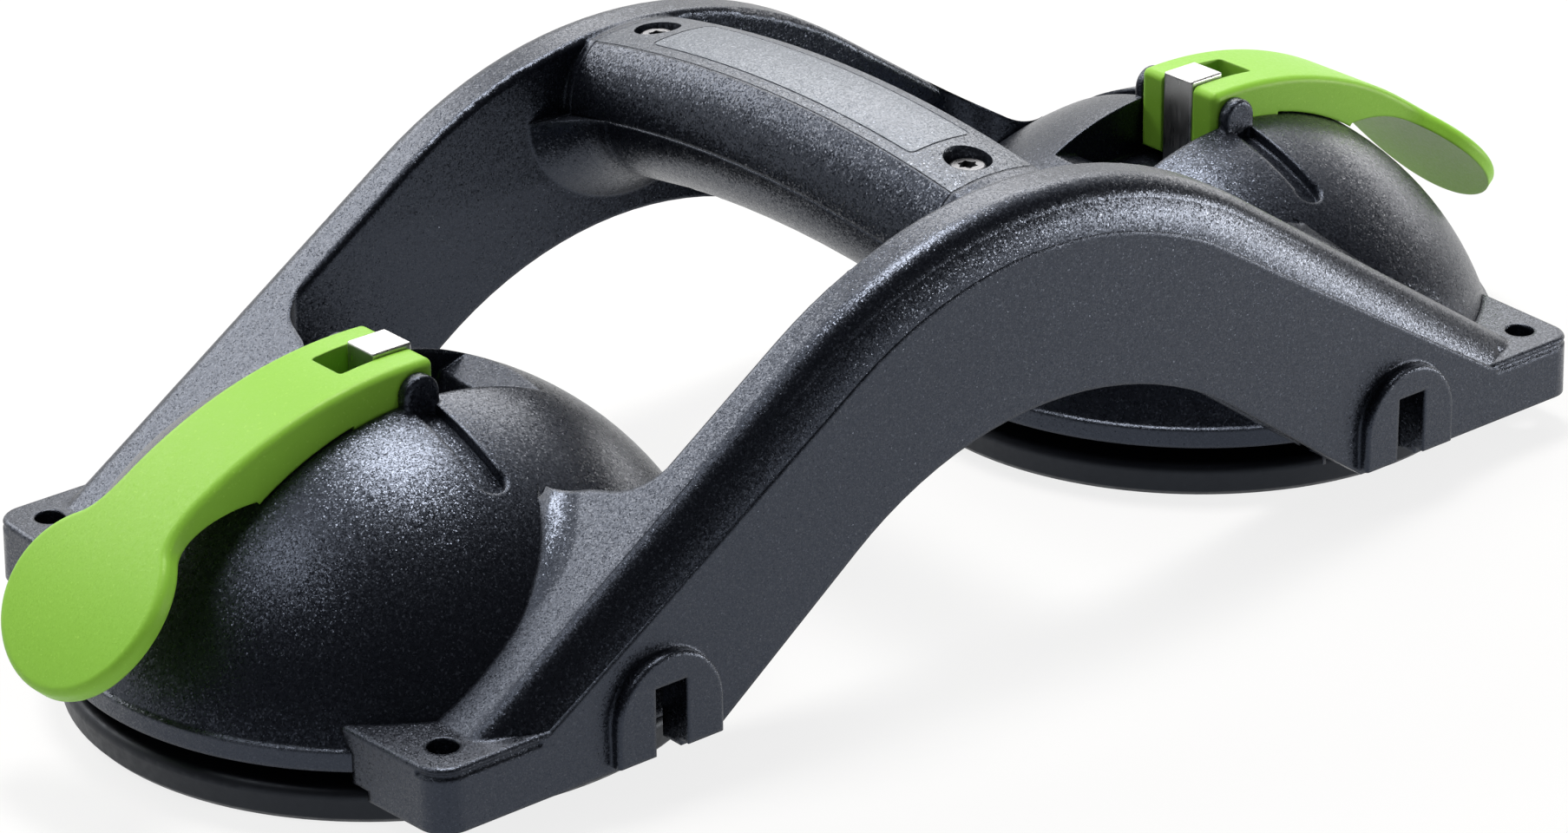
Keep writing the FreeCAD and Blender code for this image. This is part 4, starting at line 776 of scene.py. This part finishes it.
@dataclass(frozen=True)
class Studio:
    """Pale floor, soft light and the camera.

    Attributes:
        floor_colour: sRGB hex colour of the floor.
        floor_half: Half the side of the floor in metres.
        floor_drop: Metres that the floor lies under the pads, so that no faces coincide.
        floor_glow: Share of plain white in the floor that camera and mirrors see; the
            rest is lit paper and carries the shadow.
        world_strength: Soft grey light from all round.
        sweep_way: Direction of the white background behind the lifter.
        sweep_fade: Cosine to sweep_way at which mirrors see it gone, and in full.
        sweep_low: What mirrors see of it where it has gone.  At 1 they see white all
            round, as the camera does, and the hollows of the black pieces turn grey.
        boxes: The lamps.
        eye: Place of the camera in metres.
        yaw: Bearing of the view, degrees from +X towards +Y.
        pitch: How far it looks down, degrees.
        roll: Turn about the view, degrees.
        lens: Focal length in millimetres.
        sensor: Width of the sensor in millimetres.
    """

    floor_colour: str = "DCDCDC"
    floor_half: float = 6.0
    floor_drop: float = 0.0002
    floor_glow: float = 0.82
    world_strength: float = 0.25
    sweep_way: tuple[float, float, float] = (0.25, 0.93, 0.26)
    sweep_fade: tuple[float, float] = (0.1, 0.7)
    sweep_low: float = 0.03
    boxes: tuple[SoftBox, ...] = (
        SoftBox("top_box", 55.0, 74.0, 1.2, 0.36, 0.36, 14.0),
        SoftBox("back_box", 102.0, 35.0, 1.6, 1.1, 0.5, 12.0),
        SoftBox("behind_box", 45.0, 34.0, 1.7, 0.9, 0.5, 8.0),
        SoftBox("rim_box", 16.0, 11.0, 1.8, 0.9, 0.30, 3.0),
        SoftBox("low_strip", -36.0, 2.5, 1.3, 0.6, 0.09, 8.0),
        SoftBox("left_box", 165.0, 55.0, 1.5, 0.30, 0.30, 3.2),
    )
    eye: tuple[float, float, float] = (-0.63467, -0.74263, 0.46622)
    yaw: float = 49.767
    pitch: float = 24.564
    roll: float = -0.384
    lens: float = 130.24
    sensor: float = 36.0

    def build(self) -> None:
        """Make world, floor, lamps and camera."""
        self.world()
        self.floor()
        for lamp in self.boxes:
            lamp.build()
        self.camera()
        bpy.context.scene.view_settings.view_transform = "Standard"
        LOG.info("studio built")

    def world(self) -> None:
        """White to the camera, a white sweep to mirrors, a soft grey to everything else."""
        world = bpy.data.worlds.new("studio_world")
        bpy.context.scene.world = world
        world.use_nodes = True
        tree = world.node_tree
        tree.nodes.clear()
        path = add_node(tree, "ShaderNodeLightPath")
        seen = add_node(tree, "ShaderNodeMath", {"operation": "MAXIMUM"},
                        {0: path.outputs["Is Camera Ray"],
                         1: path.outputs["Is Transmission Ray"]})
        # Mirror parts see the white sweep behind the lifter fade towards the open room.
        way = add_node(tree, "ShaderNodeTexCoord").outputs["Generated"]
        behind = add_node(tree, "ShaderNodeVectorMath", {"operation": "DOT_PRODUCT"},
                          {0: way, 1: self.sweep_way})
        sweep = add_node(tree, "ShaderNodeMapRange", None,
                         {"Value": behind.outputs["Value"],
                          "From Min": self.sweep_fade[0], "From Max": self.sweep_fade[1],
                          "To Min": self.sweep_low, "To Max": 1.0})
        soft = add_node(tree, "ShaderNodeBackground", None,
                        {"Color": WHITE, "Strength": self.world_strength})
        shine = add_node(tree, "ShaderNodeBackground", None,
                         {"Color": WHITE, "Strength": sweep.outputs["Result"]})
        white = add_node(tree, "ShaderNodeBackground", None,
                         {"Color": WHITE, "Strength": 1.0})
        lit = add_node(tree, "ShaderNodeMixShader", None,
                       {0: path.outputs["Is Glossy Ray"], 1: soft.outputs[0],
                        2: shine.outputs[0]})
        both = add_node(tree, "ShaderNodeMixShader", None,
                        {0: seen.outputs[0], 1: lit.outputs[0], 2: white.outputs[0]})
        add_node(tree, "ShaderNodeOutputWorld", None, {"Surface": both.outputs[0]})

    def floor(self) -> None:
        """Flat pale floor at the foot of the pads, which keeps the lifter's shadow."""
        h = self.floor_half
        corners = np.array([[-h, -h, 0.0], [h, -h, 0.0], [h, h, 0.0], [-h, h, 0.0]])
        mesh = bpy.data.meshes.new("floor")
        mesh.from_pydata(corners.tolist(), [], [(0, 1, 2, 3)])
        floor = bpy.data.objects.new("floor", mesh)
        floor.location.z = -self.floor_drop
        bpy.context.scene.collection.objects.link(floor)
        mat = bpy.data.materials.new("floor_paper")
        mat.use_nodes = True
        tree = mat.node_tree
        tree.nodes.clear()
        path = add_node(tree, "ShaderNodeLightPath")
        paper = add_node(tree, "ShaderNodeBsdfDiffuse", None,
                         {"Color": linear(self.floor_colour)})
        glow = add_node(tree, "ShaderNodeEmission", None,
                        {"Color": WHITE, "Strength": 1.0})
        clear = add_node(tree, "ShaderNodeMath", {"operation": "MAXIMUM"},
                         {0: path.outputs["Is Camera Ray"],
                          1: path.outputs["Is Transmission Ray"]})
        seen = add_node(tree, "ShaderNodeMath", {"operation": "MAXIMUM"},
                        {0: clear.outputs[0], 1: path.outputs["Is Glossy Ray"]})
        amount = add_node(tree, "ShaderNodeMath", {"operation": "MULTIPLY"},
                          {0: seen.outputs[0], 1: self.floor_glow})
        both = add_node(tree, "ShaderNodeMixShader", None,
                        {0: amount.outputs[0], 1: paper.outputs[0], 2: glow.outputs[0]})
        add_node(tree, "ShaderNodeOutputMaterial", None, {"Surface": both.outputs[0]})
        mesh.materials.append(mat)

    def camera(self) -> None:
        """Camera to the left of the front arch, looking down along the handle."""
        data = bpy.data.cameras.new("camera")
        data.lens = self.lens
        data.sensor_width = self.sensor
        data.sensor_fit = "HORIZONTAL"
        data.clip_start = 0.01
        obj = bpy.data.objects.new("camera", data)
        bpy.context.scene.collection.objects.link(obj)
        yaw, pitch, roll = (math.radians(v) for v in (self.yaw, self.pitch, self.roll))
        ahead = Vector((math.cos(pitch) * math.cos(yaw), math.cos(pitch) * math.sin(yaw),
                        -math.sin(pitch)))
        right = ahead.cross(Vector((0.0, 0.0, 1.0))).normalized()
        up = right.cross(ahead)
        right_r = right * math.cos(roll) + up * math.sin(roll)
        up_r = up * math.cos(roll) - right * math.sin(roll)
        obj.matrix_world = Matrix((
            (right_r.x, up_r.x, -ahead.x, self.eye[0]),
            (right_r.y, up_r.y, -ahead.y, self.eye[1]),
            (right_r.z, up_r.z, -ahead.z, self.eye[2]),
            (0.0, 0.0, 0.0, 1.0)))
        bpy.context.scene.camera = obj


def main() -> None:
    """Load the model, dress it and set up the studio."""
    logging.basicConfig(level=logging.INFO, format="%(name)s: %(message)s")
    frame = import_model()
    nodes = frame["nodes"]
    carrier = CarryingFrame(nodes)
    carrier.dress()
    carrier.shoulders()
    Grip(nodes).dress()
    for side in ("left", "right"):
        cup = Cup(nodes, side)
        cup.dress()
        cup.soft_parts()
    Studio().build()


if __name__ == "__main__":
    main()
